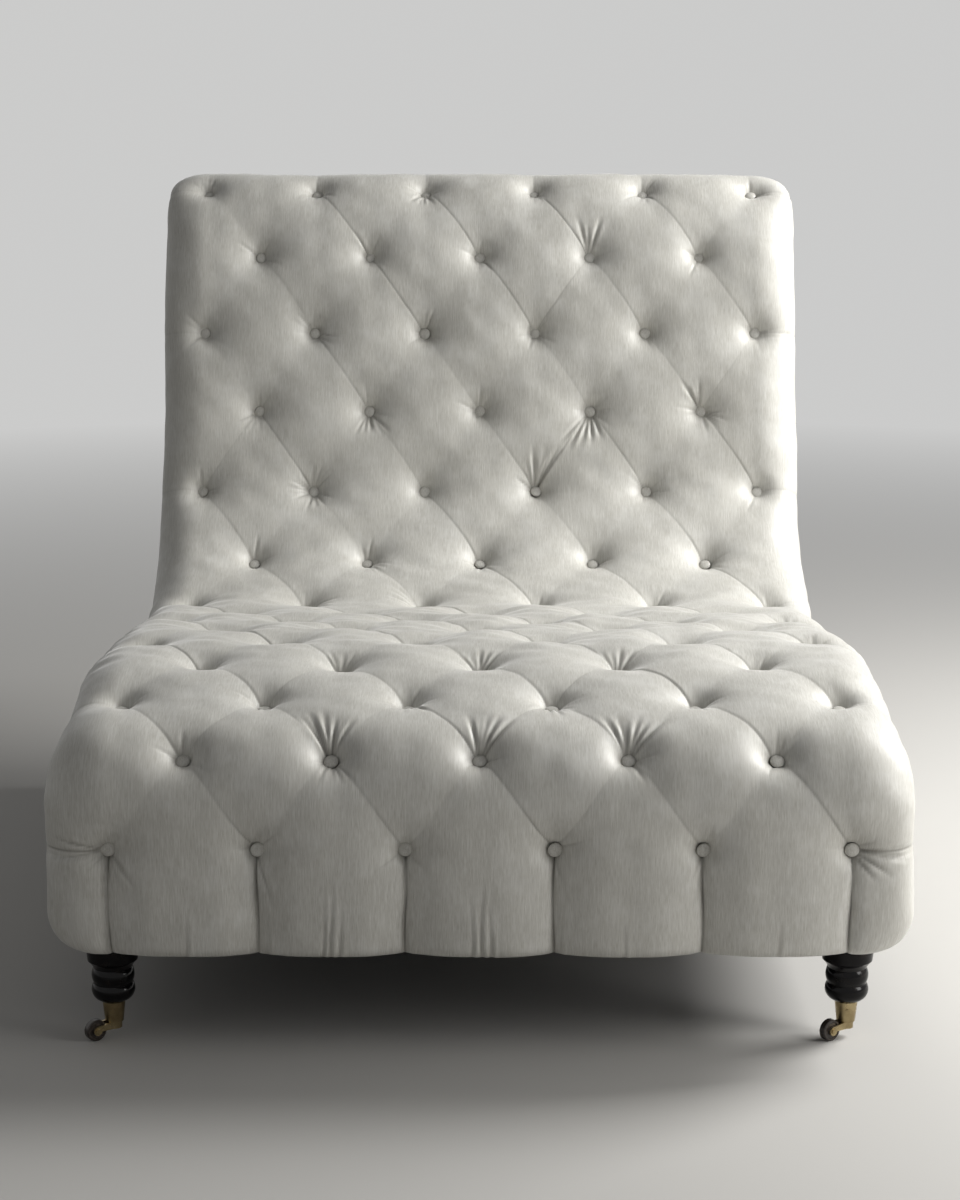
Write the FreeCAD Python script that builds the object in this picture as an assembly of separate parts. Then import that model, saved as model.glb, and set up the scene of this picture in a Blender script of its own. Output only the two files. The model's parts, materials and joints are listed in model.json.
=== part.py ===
# Deep-buttoned double chaise longue on turned legs with cup casters.
# Millimetres, +Z up. The foot of the chaise faces -Y, its back is at +Y, and X is its width.
import FreeCAD
import Part
import math
import os

V = FreeCAD.Vector

# Tufting
half_width = 583.0
edge_margin = 75.5         # from the outer buttons to the widest line of the side
buttons_in_long_row = 6
row_pitch = 146.0          # along the padded surface, from row to row
row_count = 15             # long rows and short ones in turn, from the top of the back to the foot
tuft_depth = 41.0          # from the crown of a diamond to the bottom of a button's pit
saddle_depth = 12.0        # how far the surface has sunk half way between two rows
lowest_row = 150.0         # from the bottom edge of the foot, along the surface, to the lowest row

# Side profile of the padded surface, from the bottom edge of the foot to the back roll
frame_bottom = 155.0       # floor to the underside of the frame
face_height = 194.0        # upright front face, up to where it starts to roll over
nose_radius = 119.0
nose_heading = 16.0        # degrees above level where the nose runs into the front of the seat
seat_front_radius = 1075.0
seat_rake = 6.9            # degrees that the seat falls towards the back
seat_length = 454.0
lap_radius = 320.0         # hollow between the seat and the back
back_heading = 72.6        # degrees above level
back_length = 318.0
shoulder_radius = 430.0
shoulder_heading = 47.6
roll_radius = 84.0
roll_end_heading = -160.0

# Padding
foot_bulge = 12.0          # how far the sides of the foot stand past the rest
foot_corner_inset = 45.0   # how far the bottom corners of the foot are drawn in
pad_thickness = 80.0
roll_pad_thickness = 48.0
edge_drop = 55.0           # from the crown down to the widest line of the side
side_draw_in = 6.0         # the sides pull in again below the widest line
button_edge_sag = 31.0     # the same beside an outer button
crown_edge_sag = 13.0      # how far the edge has sunk half way down the flank
chord_ease = 1.2           # the underside is flat between two sections, so it stays this much clear
pit_steepness = 1.6
roll_steps = 6
roll_end_pit = 8.0
roll_end_crown = 4.0
core_gap = 2.0
fit_gap = 0.3
cover_thickness = 2.0
deck_thickness = 1.5
hole_radius = 1.6          # for a button's twine, through cover, padding and deck

# Buttons
button_radius = 9.8
button_dome = 3.2
button_rim = 1.6
shank_radius = 2.0
twine_radius = 0.9
toggle_radius = 7.0
toggle_thickness = 2.5
toggle_gap = 0.9           # a flat toggle clears the bent deck by this much at its middle
button_gap = 0.8

# Webbing
strap_width = 55.0
strap_thickness = 1.5

# Timber
side_thickness = 28.0
rail_thickness = 25.0
stretcher_height = 42.0
back_depth = 145.0         # from the inside crown of the back to its outside cover
knee_height = 700.0        # where the outside back starts to turn upright
knee_radius = 600.0
outside_top_drop = 52.5    # from the middle of the roll down to the top edge of the outside back
outside_pad = 6.0
side_pad = 8.0
side_panel_gap = 1.0
rail_height = 75.0
rear_rail_height = 140.0
block_size = 96.0
block_height = 60.0
side_joint = 985.0         # front face to the joint between seat side and back side

# Legs
leg_set_in = 63.0          # from the side of the padding to the leg's axis
front_leg_set_back = 118.0
rear_leg_set_in = 105.0
leg_top_radius = 38.0
flare_radius = 35.5
cove_radius = 27.5
upper_bead_radius = 30.3
lower_bead_radius = 30.8
groove_radius = 28.0
neck_radius = 19.5
neck_height = 2.0          # from the ferrule up to the lower bead
lower_bead_height = 25.5
groove_height = 2.0
upper_bead_height = 21.0
cove_height = 11.5
flare_height = 25.0
bolt_radius = 4.0
bolt_length = 75.0
bolt_in_leg = 30.0
nut_radius = 6.0
nut_flange_radius = 12.0
nut_length = 10.0
nut_flange = 1.6

# Casters
wheel_radius = 15.5
wheel_width = 11.0
caster_trail = 30.0
caster_rest_angle = 215.0  # degrees from +X to where a caster trails
axle_radius = 2.5
axle_head_radius = 3.8
axle_head = 1.2
rivet_gap = 0.04
running_gap = 0.08
wheel_side_gap = 0.5
arm_thickness = 3.0
arm_eye_radius = 6.4
boss_radius = 11.0
boss_bottom = 14.2
stem_radius = 4.0
stem_head_radius = 6.5
stem_head = 2.0
ferrule_bottom = 24.0
ferrule_top = 54.0
ferrule_floor = 4.0
ferrule_wall = 1.8
ferrule_bottom_radius = 13.1
ferrule_top_radius = 16.4
spigot_gap = 0.25
screw_radius = 1.5
screw_head_radius = 2.8
screw_length = 9.0
screw_height = 42.0
dust_cover_thickness = 1.2
leg_hole_gap = 2.0

# The outer buttons stand at the edge margin, and the others share the width between them
lowest_column = -(buttons_in_long_row - 1)
columns = range(lowest_column, -lowest_column + 1)
edge_column_x = half_width - edge_margin
half_pitch = edge_column_x / -lowest_column


# Side profile: spans of straight lines and arcs, each tangent to the last
def make_spans():
    """(start station, length, y, z, heading in radians, curvature) of each span, from the foot up."""
    turns = [
        ("line", face_height),
        ("arc", nose_radius, nose_heading),
        ("arc", seat_front_radius, -seat_rake),
        ("line", seat_length),
        ("arc", lap_radius, back_heading),
        ("line", back_length),
        ("arc", shoulder_radius, shoulder_heading),
        ("arc", roll_radius, roll_end_heading),
    ]
    spans = []
    s, y, z, heading = 0.0, 0.0, frame_bottom, math.radians(90.0)
    for turn in turns:
        if turn[0] == "line":
            length, curvature, end = turn[1], 0.0, heading
        else:
            end = math.radians(turn[2])
            curvature = math.copysign(1.0 / turn[1], end - heading)
            length = abs(end - heading) * turn[1]
        spans.append((s, length, y, z, heading, curvature))
        if curvature:
            y += (math.sin(end) - math.sin(heading)) / curvature
            z -= (math.cos(end) - math.cos(heading)) / curvature
        else:
            y += length * math.cos(heading)
            z += length * math.sin(heading)
        s, heading = s + length, end
    return spans


spans = make_spans()
NOSE, SEAT_FRONT, SEAT, LAP, BACK, SHOULDER, ROLL = 1, 2, 3, 4, 5, 6, 7
roll_start = spans[ROLL][0]
core_radius = roll_radius - roll_pad_thickness - core_gap
path_end = roll_start + spans[ROLL][1]


def at(s, depth=0.0):
    """(y, z, heading) of the point at station s, depth below the crown surface."""
    span = spans[0]
    for candidate in spans:
        if s >= candidate[0] - 1e-9:
            span = candidate
    start, _, y, z, heading, curvature = span
    run = s - start
    end = heading + curvature * run
    if curvature:
        y += (math.sin(end) - math.sin(heading)) / curvature
        z -= (math.cos(end) - math.cos(heading)) / curvature
    else:
        y += run * math.cos(heading)
        z += run * math.sin(heading)
    return y + depth * math.sin(end), z - depth * math.cos(end), end


# The origin is below the middle of the chaise, so the front face is half the depth ahead of it
roll_y, roll_z, _ = at(roll_start, roll_radius)
cover_out = fit_gap + cover_thickness
front_y = -(roll_y + roll_radius) / 2


def place(x, s, depth=0.0):
    """A point in the chaise's frame."""
    y, z, _ = at(s, depth)
    return V(x, y + front_y, z)


def outward(s):
    heading = at(s)[2]
    return V(0, -math.sin(heading), math.cos(heading))


# Tufted padding
def row_station(row):
    return lowest_row + (row_count - 1 - row) * row_pitch


def is_long_row(row):
    return row % 2 == 0


def is_button(row, column):
    return (column % 2 != 0) == is_long_row(row)


def padding_at(s):
    """Thickness of the padding: it thins out from row 1 to the roll."""
    taper_start = row_station(1)
    share = min(max((s - taper_start) / (roll_start - taper_start), 0.0), 1.0)
    return pad_thickness + share * (roll_pad_thickness - pad_thickness)


def width_at(s):
    """Half width of the padding: wide at the foot, with drawn-in bottom corners."""
    foot_end = row_station(row_count - 3)
    share = min(max(1.0 - s / foot_end, 0.0), 1.0)
    width = half_width + foot_bulge * min(1.0, 2 * share)
    corner = max(0.0, 1.0 - s / edge_drop)
    return width - foot_corner_inset * corner ** 2


def station(s, row, pits, crowns):
    """A cross-section: how far its pits, under the buttons of a row, and its crowns are sunk."""
    return {"s": s, "row": row, "pits": pits, "crowns": crowns}


def between_rows(row, share):
    """A cross-section at a share of the way from a row to the row above it."""
    near = share if share < 0.5 else 1.0 - share
    pits = saddle_depth + (tuft_depth - saddle_depth) * (1.0 - 2.0 * near) ** pit_steepness
    crowns = saddle_depth * (2.0 * near) ** 2
    return station(row_station(row) + share * row_pitch, row if share <= 0.5 else row - 1, pits, crowns)


def make_stations():
    """The cross-sections of the padding, from the bottom edge of the foot to the end of the roll."""
    made = [
        station(0.0, row_count - 1, 22.0, 15.0),
        station(0.3 * lowest_row, row_count - 1, 14.0, 4.0),
        station(0.65 * lowest_row, row_count - 1, 20.0, 0.5),
    ]
    for row in reversed(range(row_count)):
        made.append(station(row_station(row), row, tuft_depth, 0.0))
        if row:
            shares = [0.5]
            if row_station(row) < spans[SEAT_FRONT][0]:
                shares = [0.25, 0.5, 0.75]
            if row_station(row - 1) > roll_start:
                shares = [0.5, 0.75]
            made += [between_rows(row, share) for share in shares]
    left = path_end - row_station(0)
    for step in range(1, roll_steps + 1):
        share = step / roll_steps
        pits = roll_end_pit + (tuft_depth - roll_end_pit) * (1.0 - share) ** 3
        made.append(station(row_station(0) + share * left, 0, pits, roll_end_crown * share ** 2))
    return made


stations = make_stations()


def sunk(section, column):
    """Depth of the surface below the crown line at a column of a cross-section."""
    return section["pits"] if is_button(section["row"], column) else section["crowns"]


def upper_edges(section, out):
    """The section's upper side as arcs, from the left flank to the right, pushed out by out."""
    s = section["s"]
    wide = width_at(s) + out
    deep = padding_at(s) - chord_ease
    edge_x = edge_column_x
    ends = [(column * half_pitch, -sunk(section, column) + out) for column in columns]
    edge_sag = crown_edge_sag + (button_edge_sag - crown_edge_sag) * sunk(section, lowest_column) / tuft_depth
    drop = min(edge_drop, deep - 15.0)
    bend = edge_x + 0.58 * (wide - edge_x)
    edges = []

    def spot(x, up):
        return place(x, s, -up)

    def flank(side):
        low = spot(side * (wide - side_draw_in), -deep)
        widest = spot(side * wide, -drop)
        inner = spot(side * edge_x, ends[0][1])
        middle = spot(side * bend, -edge_sag + out)
        return low, widest, middle, inner

    low, widest, middle, inner = flank(-1)
    edges.append(Part.LineSegment(low, widest).toShape())
    edges.append(Part.Arc(widest, middle, inner).toShape())
    for (x0, up0), (x1, up1) in zip(ends, ends[1:]):
        rise = up1 - up0
        if abs(rise) < 0.5:
            edges.append(Part.LineSegment(spot(x0, up0), spot(x1, up1)).toShape())
            continue
        crest_x, crest_up = (x1, up1) if rise > 0 else (x0, up0)
        radius = (half_pitch ** 2 + rise ** 2) / (2 * abs(rise))
        fall = radius - math.sqrt(radius ** 2 - (half_pitch / 2) ** 2)
        halfway = spot((x0 + x1) / 2, crest_up - fall)
        edges.append(Part.Arc(spot(x0, up0), halfway, spot(x1, up1)).toShape())
    low, widest, middle, inner = flank(1)
    edges.append(Part.Arc(inner, middle, widest).toShape())
    edges.append(Part.LineSegment(widest, low).toShape())
    return edges


def end_points(edges):
    return edges[0].Vertexes[0].Point, edges[-1].Vertexes[-1].Point


def pad_section(section):
    edges = upper_edges(section, 0.0)
    left, right = end_points(edges)
    return Part.Wire(edges + [Part.LineSegment(right, left).toShape()])


def cover_section(section):
    outer = upper_edges(section, cover_out)
    inner = upper_edges(section, fit_gap)
    outer_left, outer_right = end_points(outer)
    inner_left, inner_right = end_points(inner)
    back = [edge.reversed() for edge in reversed(inner)]
    across_right = Part.LineSegment(outer_right, inner_right).toShape()
    across_left = Part.LineSegment(inner_left, outer_left).toShape()
    return Part.Wire(outer + [across_right] + back + [across_left])


def between(first, last):
    return [section for section in stations if first - 1 < section["s"] < last + 1]


def button_spots():
    """(row, x, station) of every button."""
    spots = []
    for row in range(row_count):
        for column in columns:
            if is_button(row, column):
                spots.append((row, column * half_pitch, row_station(row)))
    return spots


def on_surface(shape, x, s, depth):
    """A shape drawn round the +Z axis, set on the padding with +Z outward."""
    turned = shape.copy()
    turned.Placement = FreeCAD.Placement(place(x, s, depth), FreeCAD.Rotation(V(0, 0, 1), outward(s)))
    return turned


def twine_holes(first, last):
    """Needle holes through everything from the cover to the deck."""
    reach = pad_thickness + 12.0
    holes = []
    for _, x, s in button_spots():
        if first - 1 < s < last + 1:
            holes.append(on_surface(Part.makeCylinder(hole_radius, reach + 10.0), x, s, reach))
    return Part.makeCompound(holes)


def make_pad(first, last):
    body = Part.makeLoft([pad_section(section) for section in between(first, last)], True, True)
    return body.cut(twine_holes(first, last))


def turned_under(section, direction):
    """The cover's fabric across an end of the padding."""
    edges = upper_edges(section, cover_out)
    left, right = end_points(edges)
    face = Part.Face(Part.Wire(edges + [Part.LineSegment(right, left).toShape()]))
    return face.extrude(direction * cover_thickness)


def make_tufted_cover():
    """One piece of velvet over all the padding, turned under at the foot and behind the roll."""
    body = Part.makeLoft([cover_section(section) for section in stations], True, True)
    _, _, heading = at(path_end)
    onward = V(0, math.cos(heading), math.sin(heading))
    body = body.fuse([turned_under(stations[0], V(0, 0, -1)), turned_under(stations[-1], onward)])
    return body.cut(twine_holes(0.0, path_end)).removeSplitter()


# Buttons, their twine and the toggles that hold it
deck_top = pad_thickness + fit_gap
pit_slope = math.asin(2 * half_pitch * tuft_depth / (half_pitch ** 2 + tuft_depth ** 2))
shank_lift = shank_radius * math.tan(pit_slope) + button_gap
button_base = tuft_depth - cover_out - shank_lift


def make_button():
    """A covered button: domed face, short rim and a cone that beds into its pit."""
    cone = (button_radius - shank_radius) * math.tan(pit_slope)
    rim = cone + button_rim
    points = [V(0, 0, 0), V(shank_radius, 0, 0), V(button_radius, 0, cone), V(button_radius, 0, rim)]
    edges = [Part.LineSegment(a, b).toShape() for a, b in zip(points, points[1:])]
    top = V(0, 0, rim + button_dome)
    ball = (button_radius ** 2 + button_dome ** 2) / (2 * button_dome)
    lean = math.asin(button_radius / ball) / 2
    shoulder = V(ball * math.sin(lean), 0, top.z - ball * (1 - math.cos(lean)))
    edges.append(Part.Arc(points[-1], shoulder, top).toShape())
    edges.append(Part.LineSegment(top, points[0]).toShape())
    return Part.Face(Part.Wire(edges)).revolve(V(0, 0, 0), V(0, 0, 1), 360)


def make_buttons(rows):
    button = make_button()
    return Part.makeCompound([on_surface(button, x, s, button_base) for row, x, s in button_spots() if row in rows])


def tie_end(row, s):
    """How deep a twine reaches: to its toggle, or to the timber behind the first and last rows."""
    if row in (0, row_count - 1):
        return padding_at(s)
    return deck_top + deck_thickness + toggle_gap


def make_ties():
    ties = []
    for row, x, s in button_spots():
        end = tie_end(row, s)
        ties.append(on_surface(Part.makeCylinder(twine_radius, end - button_base), x, s, end))
    return Part.makeCompound(ties)


def make_toggles():
    toggles = []
    for row, x, s in button_spots():
        if row not in (0, row_count - 1):
            end = tie_end(row, s) + toggle_thickness
            toggles.append(on_surface(Part.makeCylinder(toggle_radius, toggle_thickness), x, s, end))
    return Part.makeCompound(toggles)


# Bands that follow the profile at a depth: deck, webbing and rails
def offset_edges(first, last, depth):
    """Lines and arcs of the profile from station first to last, depth below the crown, at x = 0."""
    edges = []
    for start, length, _, _, _, curvature in spans:
        a, b = max(first, start), min(last, start + length)
        if b - a < 1e-6:
            continue
        p, q = place(0, a, depth), place(0, b, depth)
        if curvature:
            edges.append(Part.Arc(p, place(0, (a + b) / 2, depth), q).toShape())
        else:
            edges.append(Part.LineSegment(p, q).toShape())
    return edges


def closed_face(edges):
    return Part.Face(Part.Wire(Part.sortEdges(edges)[0]))


def line(p, q):
    return Part.LineSegment(p, q).toShape()


def band(first, last, top, bottom, x0, x1):
    edges = offset_edges(first, last, top) + offset_edges(first, last, bottom)
    edges += [line(place(0, s, top), place(0, s, bottom)) for s in (first, last)]
    return closed_face(edges).extrude(V(x1 - x0, 0, 0)).translated(V(x0, 0, 0))


side_inner = half_width - side_draw_in - side_pad - side_thickness
strap_top = deck_top + deck_thickness + fit_gap
cross_top = strap_top + strap_thickness + fit_gap
rail_top = cross_top + strap_thickness + fit_gap
deck_start = spans[NOSE][0]
deck_end = row_station(1)
seat_web_end = row_station(6)


def make_deck():
    deck = band(deck_start, deck_end, deck_top, deck_top + deck_thickness, -side_inner, side_inner)
    return deck.cut(twine_holes(deck_start, deck_end))


def long_straps(first, last):
    """Straps that run along the profile, between the columns of buttons."""
    straps = []
    for column in columns:
        middle = (column + 0.5) * half_pitch
        if abs(middle) < edge_column_x:
            left = middle - strap_width / 2
            straps.append(band(first, last, strap_top, strap_top + strap_thickness, left, left + strap_width))
    return Part.makeCompound(straps)


def cross_straps(rows):
    """Straps from side to side, each half way between two rows."""
    straps = []
    for row in rows:
        middle = row_station(row) - row_pitch / 2
        first, last = middle - strap_width / 2, middle + strap_width / 2
        straps.append(band(first, last, cross_top, cross_top + strap_thickness, -side_inner, side_inner))
    return Part.makeCompound(straps)


def profile_rail(middle):
    """A cross rail behind the webbing, square to the profile at its middle."""
    y, z, heading = at(middle, rail_top)
    rail = Part.makeBox(2 * side_inner, rail_height, rail_thickness, V(-side_inner, -rail_height / 2, -rail_thickness))
    rail.rotate(V(0, 0, 0), V(1, 0, 0), math.degrees(heading))
    sag = abs(spans[LAP][5]) * (rail_height / 2) ** 2
    clear = outward(middle) * -sag
    return rail.translated(V(0, y + front_y, z) + clear)


# Outside back and sides
def outside_back(inset):
    """Points of the outside back, inset from its cover: top, knee, bend, upright and bottom."""
    heading = math.radians(back_heading)
    along = V(0, math.cos(heading), math.sin(heading))
    behind = V(0, math.sin(heading), -math.cos(heading))
    start = place(0, spans[BACK][0], back_depth)
    knee = start + along * ((knee_height - start.z) / along.z)
    centre = knee + behind * knee_radius
    reach = knee_radius + inset

    def on_bend(angle):
        return centre + V(0, -math.sin(angle), math.cos(angle)) * reach

    upright = on_bend(math.pi / 2)
    knee = on_bend(heading)
    top = knee + along * ((roll_z - outside_top_drop - knee.z) / along.z)
    return top, knee, on_bend((heading + math.pi / 2) / 2), upright, V(0, upright.y, frame_bottom)


def outside_back_edges(inset):
    top, knee, bend, upright, bottom = outside_back(inset)
    return [line(top, knee), Part.Arc(knee, bend, upright).toShape(), line(upright, bottom)]


def side_slab(x0, x1, top_gap, back_inset, core):
    """A slab of the side's outline: under the padding, ahead of the outside back, round the roll's core."""
    depth = pad_thickness + top_gap
    crest = place(0, roll_start, roll_radius - core)
    heel = place(0, path_end, roll_radius - core + cover_thickness)
    top, _, _, _, bottom = outside_back(back_inset)
    edges = offset_edges(0.0, deck_end, depth) + outside_back_edges(back_inset)
    edges += [line(place(0, deck_end, depth), crest), line(crest, heel), line(heel, top)]
    edges.append(line(bottom, place(0, 0.0, depth)))
    slab = closed_face(edges).extrude(V(x1 - x0, 0, 0)).translated(V(x0, 0, 0))
    disc = Part.makeCylinder(core, x1 - x0, V(x0, roll_y + front_y, roll_z), V(1, 0, 0))
    return slab.fuse(disc).removeSplitter()


def mirrored(shape):
    return shape.mirror(V(0, 0, 0), V(1, 0, 0))


def cut_at_joint(slab, behind):
    """The part of a side slab ahead of the joint, or behind it."""
    big = 4000.0
    start = front_y + side_joint if behind else front_y + side_joint - big
    return slab.common(Part.makeBox(big, big, big, V(-big / 2, start, -big / 2)))


def make_outside_layer(near, thickness):
    """A layer of the outside back, from near below the cover's face to near + thickness below it."""
    outer, inner = outside_back(near), outside_back(near + thickness)
    edges = outside_back_edges(near) + outside_back_edges(near + thickness)
    edges += [line(outer[0], inner[0]), line(outer[-1], inner[-1])]
    wide = half_width - side_draw_in
    return closed_face(edges).extrude(V(2 * wide, 0, 0)).translated(V(-wide, 0, 0))


outside_y = outside_back(0.0)[-1].y
timber_inset = cover_thickness + fit_gap + outside_pad + fit_gap


# Rails that don't follow the profile
def box(x0, x1, y0, y1, z0, z1):
    return Part.makeBox(x1 - x0, y1 - y0, z1 - z0, V(x0, y0, z0))


front_rail_y = front_y + pad_thickness + fit_gap
rear_rail_y = outside_y - timber_inset - rail_thickness
front_leg_y = front_y + front_leg_set_back
rear_leg_y = outside_y - rear_leg_set_in
leg_x = half_width - leg_set_in
leg_spots = {
    "front_left": (-leg_x, front_leg_y),
    "front_right": (leg_x, front_leg_y),
    "rear_left": (-leg_x, rear_leg_y),
    "rear_right": (leg_x, rear_leg_y),
}


def make_front_rail():
    top = frame_bottom + face_height - fit_gap
    return box(-side_inner, side_inner, front_rail_y, front_rail_y + rail_thickness, frame_bottom, top)


def make_rear_rail():
    top = frame_bottom + rear_rail_height
    return box(-side_inner, side_inner, rear_rail_y, rear_rail_y + rail_thickness, frame_bottom, top)


def make_stretchers():
    first = front_rail_y + rail_thickness
    span = rear_rail_y - first
    bars = []
    for share in (1 / 3, 2 / 3):
        y = first + share * span
        bars.append(box(-side_inner, side_inner, y, y + rail_thickness, frame_bottom, frame_bottom + stretcher_height))
    return Part.makeCompound(bars)


def bolt_hole(x, y, radius):
    low = frame_bottom - bolt_in_leg - 1.0
    return Part.makeCylinder(radius, bolt_length + 20.0, V(x, y, low))


def make_corner_blocks():
    """A block in each corner of the frame, bored for the leg's bolt and its nut."""
    blocks = []
    for name, (x, y) in leg_spots.items():
        inner = side_inner - block_size
        x0, x1 = (-side_inner, -inner) if x < 0 else (inner, side_inner)
        if name.startswith("front"):
            y0 = front_rail_y + rail_thickness
        else:
            y0 = rear_rail_y - block_size
        block = box(x0, x1, y0, y0 + block_size, frame_bottom, frame_bottom + block_height)
        nut = Part.makeCylinder(nut_radius + fit_gap, block_height, V(x, y, frame_bottom + block_height - nut_length))
        blocks.append(block.cut(bolt_hole(x, y, bolt_radius + fit_gap)).cut(nut))
    return Part.makeCompound(blocks)


def make_dust_cover():
    """Black cloth under the frame, cut out round the legs."""
    wide = side_inner + side_thickness
    sheet = box(-wide, wide, front_rail_y, outside_y - timber_inset, frame_bottom - dust_cover_thickness, frame_bottom)
    radius = leg_top_radius + leg_hole_gap
    for x, y in leg_spots.values():
        sheet = sheet.cut(Part.makeCylinder(radius, 10.0, V(x, y, frame_bottom - 5.0)))
    return sheet


# Legs
leg_end = ferrule_bottom + ferrule_floor + stem_head + 2.0


def ferrule_radius(z):
    share = (z - ferrule_bottom) / (ferrule_top - ferrule_bottom)
    return ferrule_bottom_radius + share * (ferrule_top_radius - ferrule_bottom_radius)


def make_leg(x, y):
    """Turned leg: block, flare, cove, two beads and a spigot that sits in the ferrule."""
    bead_foot = ferrule_top + neck_height
    groove_foot = bead_foot + lower_bead_height
    groove_top = groove_foot + groove_height
    bead_top = groove_top + upper_bead_height
    cove_top = bead_top + cove_height
    flare_top = cove_top + flare_height
    wall = ferrule_wall + spigot_gap
    waist = (cove_radius + flare_radius) / 2 - 1.0
    points = [
        V(0, 0, frame_bottom),
        V(leg_top_radius, 0, frame_bottom),
        V(leg_top_radius, 0, flare_top),
        V(flare_radius, 0, cove_top),
        V(waist, 0, (bead_top + cove_top) / 2),
        V(cove_radius, 0, bead_top),
        V(upper_bead_radius, 0, groove_top + upper_bead_height / 2),
        V(groove_radius, 0, groove_top),
        V(groove_radius, 0, groove_foot),
        V(lower_bead_radius, 0, bead_foot + lower_bead_height * 0.6),
        V(neck_radius, 0, bead_foot),
        V(ferrule_top_radius, 0, ferrule_top),
        V(ferrule_top_radius - wall, 0, ferrule_top),
        V(ferrule_radius(leg_end) - wall, 0, leg_end),
        V(0, 0, leg_end),
    ]
    round_points = (4, 6, 9)
    edges = []
    for i in range(len(points) - 1):
        if i in round_points:
            edges.append(Part.Arc(points[i - 1], points[i], points[i + 1]).toShape())
        elif i + 1 not in round_points:
            edges.append(line(points[i], points[i + 1]))
    edges.append(line(points[-1], points[0]))
    leg = Part.Face(Part.Wire(edges)).revolve(V(0, 0, 0), V(0, 0, 1), 360)
    leg = leg.cut(Part.makeCylinder(bolt_radius, bolt_in_leg, V(0, 0, frame_bottom - bolt_in_leg)))
    leg = leg.cut(screw_bore(screw_radius))
    return leg.translated(V(x, y, 0))


def make_leg_bolts():
    """Hanger bolts: half in the leg, half up through the corner block into its nut."""
    return Part.makeCompound([
        Part.makeCylinder(bolt_radius, bolt_length, V(x, y, frame_bottom - bolt_in_leg))
        for x, y in leg_spots.values()
    ])


def make_leg_nuts():
    """Flanged nuts pressed into the tops of the corner blocks."""
    nuts = []
    top = frame_bottom + block_height
    for x, y in leg_spots.values():
        barrel = Part.makeCylinder(nut_radius, nut_length, V(x, y, top - nut_length))
        flange = Part.makeCylinder(nut_flange_radius, nut_flange, V(x, y, top))
        nut = barrel.fuse(flange).cut(bolt_hole(x, y, bolt_radius + running_gap))
        nuts.append(nut)
    return Part.makeCompound(nuts)


# Casters, drawn with the stem on the Z axis and the wheel trailing along +X
def screw_bore(radius):
    """Where a ferrule's screw goes in, from the foot side."""
    tip = ferrule_radius(screw_height) - screw_length
    return Part.makeCylinder(radius, screw_length + 30.0, V(0, -tip, screw_height), V(0, -1, 0))


def cone_solid(r0, z0, r1, z1):
    return Part.makeCone(r0, r1, z1 - z0, V(0, 0, z0))


def make_ferrule():
    """Brass cup on the leg's end, with a floor that the stem turns in."""
    floor = ferrule_bottom + ferrule_floor
    cup = cone_solid(ferrule_bottom_radius, ferrule_bottom, ferrule_top_radius, ferrule_top)
    hollow = cone_solid(ferrule_radius(floor) - ferrule_wall, floor, ferrule_top_radius - ferrule_wall, ferrule_top)
    bore = Part.makeCylinder(stem_radius + running_gap, 20.0, V(0, 0, ferrule_bottom - 5.0))
    return cup.cut(hollow).cut(bore).cut(screw_bore(screw_radius + fit_gap))


def make_ferrule_screws():
    """A round-headed screw through each ferrule into its leg."""
    face = ferrule_radius(screw_height) + 0.6
    shank = Part.makeCylinder(screw_radius, screw_length - 0.5, V(0, -face, screw_height), V(0, 1, 0))
    head = Part.makeCylinder(screw_head_radius, 1.0, V(0, -face - 1.0, screw_height), V(0, 1, 0))
    screw = shank.fuse(head)
    return Part.makeCompound([screw.translated(V(x, y, 0)) for x, y in leg_spots.values()])


def arm_outline():
    """Side view of one arm of the horn as a closed face at y = 0: a level bar with a round eye at the axle."""
    eye_x, eye_z = caster_trail, wheel_radius
    bar_top = ferrule_bottom - fit_gap
    bar_end = ferrule_radius(ferrule_bottom) + 2.0
    dip = math.asin((eye_z - boss_bottom) / arm_eye_radius)
    bar_meets_eye = V(eye_x - arm_eye_radius * math.cos(dip), 0, boss_bottom)
    eye_low = V(eye_x, 0, eye_z - arm_eye_radius)
    eye_far = V(eye_x + arm_eye_radius, 0, eye_z)
    lean = math.radians(45.0)
    eye_shoulder = V(eye_x + arm_eye_radius * math.cos(lean), 0, eye_z + arm_eye_radius * math.sin(lean))
    eye_top = V(eye_x, 0, eye_z + arm_eye_radius)
    edges = [
        line(V(0, 0, boss_bottom), bar_meets_eye),
        Part.Arc(bar_meets_eye, eye_low, eye_far).toShape(),
        Part.Arc(eye_far, eye_shoulder, eye_top).toShape(),
        line(eye_top, V(bar_end, 0, bar_top)),
        line(V(bar_end, 0, bar_top), V(0, 0, bar_top)),
        line(V(0, 0, bar_top), V(0, 0, boss_bottom)),
    ]
    return Part.Face(Part.Wire(edges))


def make_horn():
    """Swivelling horn: stem with a peened head, boss, and two arms that carry the axle."""
    inner = wheel_width / 2 + wheel_side_gap
    boss = Part.makeCylinder(boss_radius, ferrule_bottom - fit_gap - boss_bottom, V(0, 0, boss_bottom))
    stem_top = ferrule_bottom + ferrule_floor + fit_gap
    stem = Part.makeCylinder(stem_radius, stem_top - boss_bottom, V(0, 0, boss_bottom))
    head = Part.makeCylinder(stem_head_radius, stem_head - 0.5, V(0, 0, stem_top))
    horn = boss.fuse(stem).fuse(head)
    for start in (inner, -inner - arm_thickness):
        arm = arm_outline().extrude(V(0, arm_thickness, 0)).translated(V(0, start, 0))
        horn = horn.fuse(arm)
    room = Part.makeCylinder(wheel_radius + 1.0, 2 * inner, V(caster_trail, -inner, wheel_radius), V(0, 1, 0))
    axle_bore = Part.makeCylinder(axle_radius + rivet_gap, 40.0, V(caster_trail, -20.0, wheel_radius), V(0, 1, 0))
    return horn.cut(room).cut(axle_bore).removeSplitter()


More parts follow.
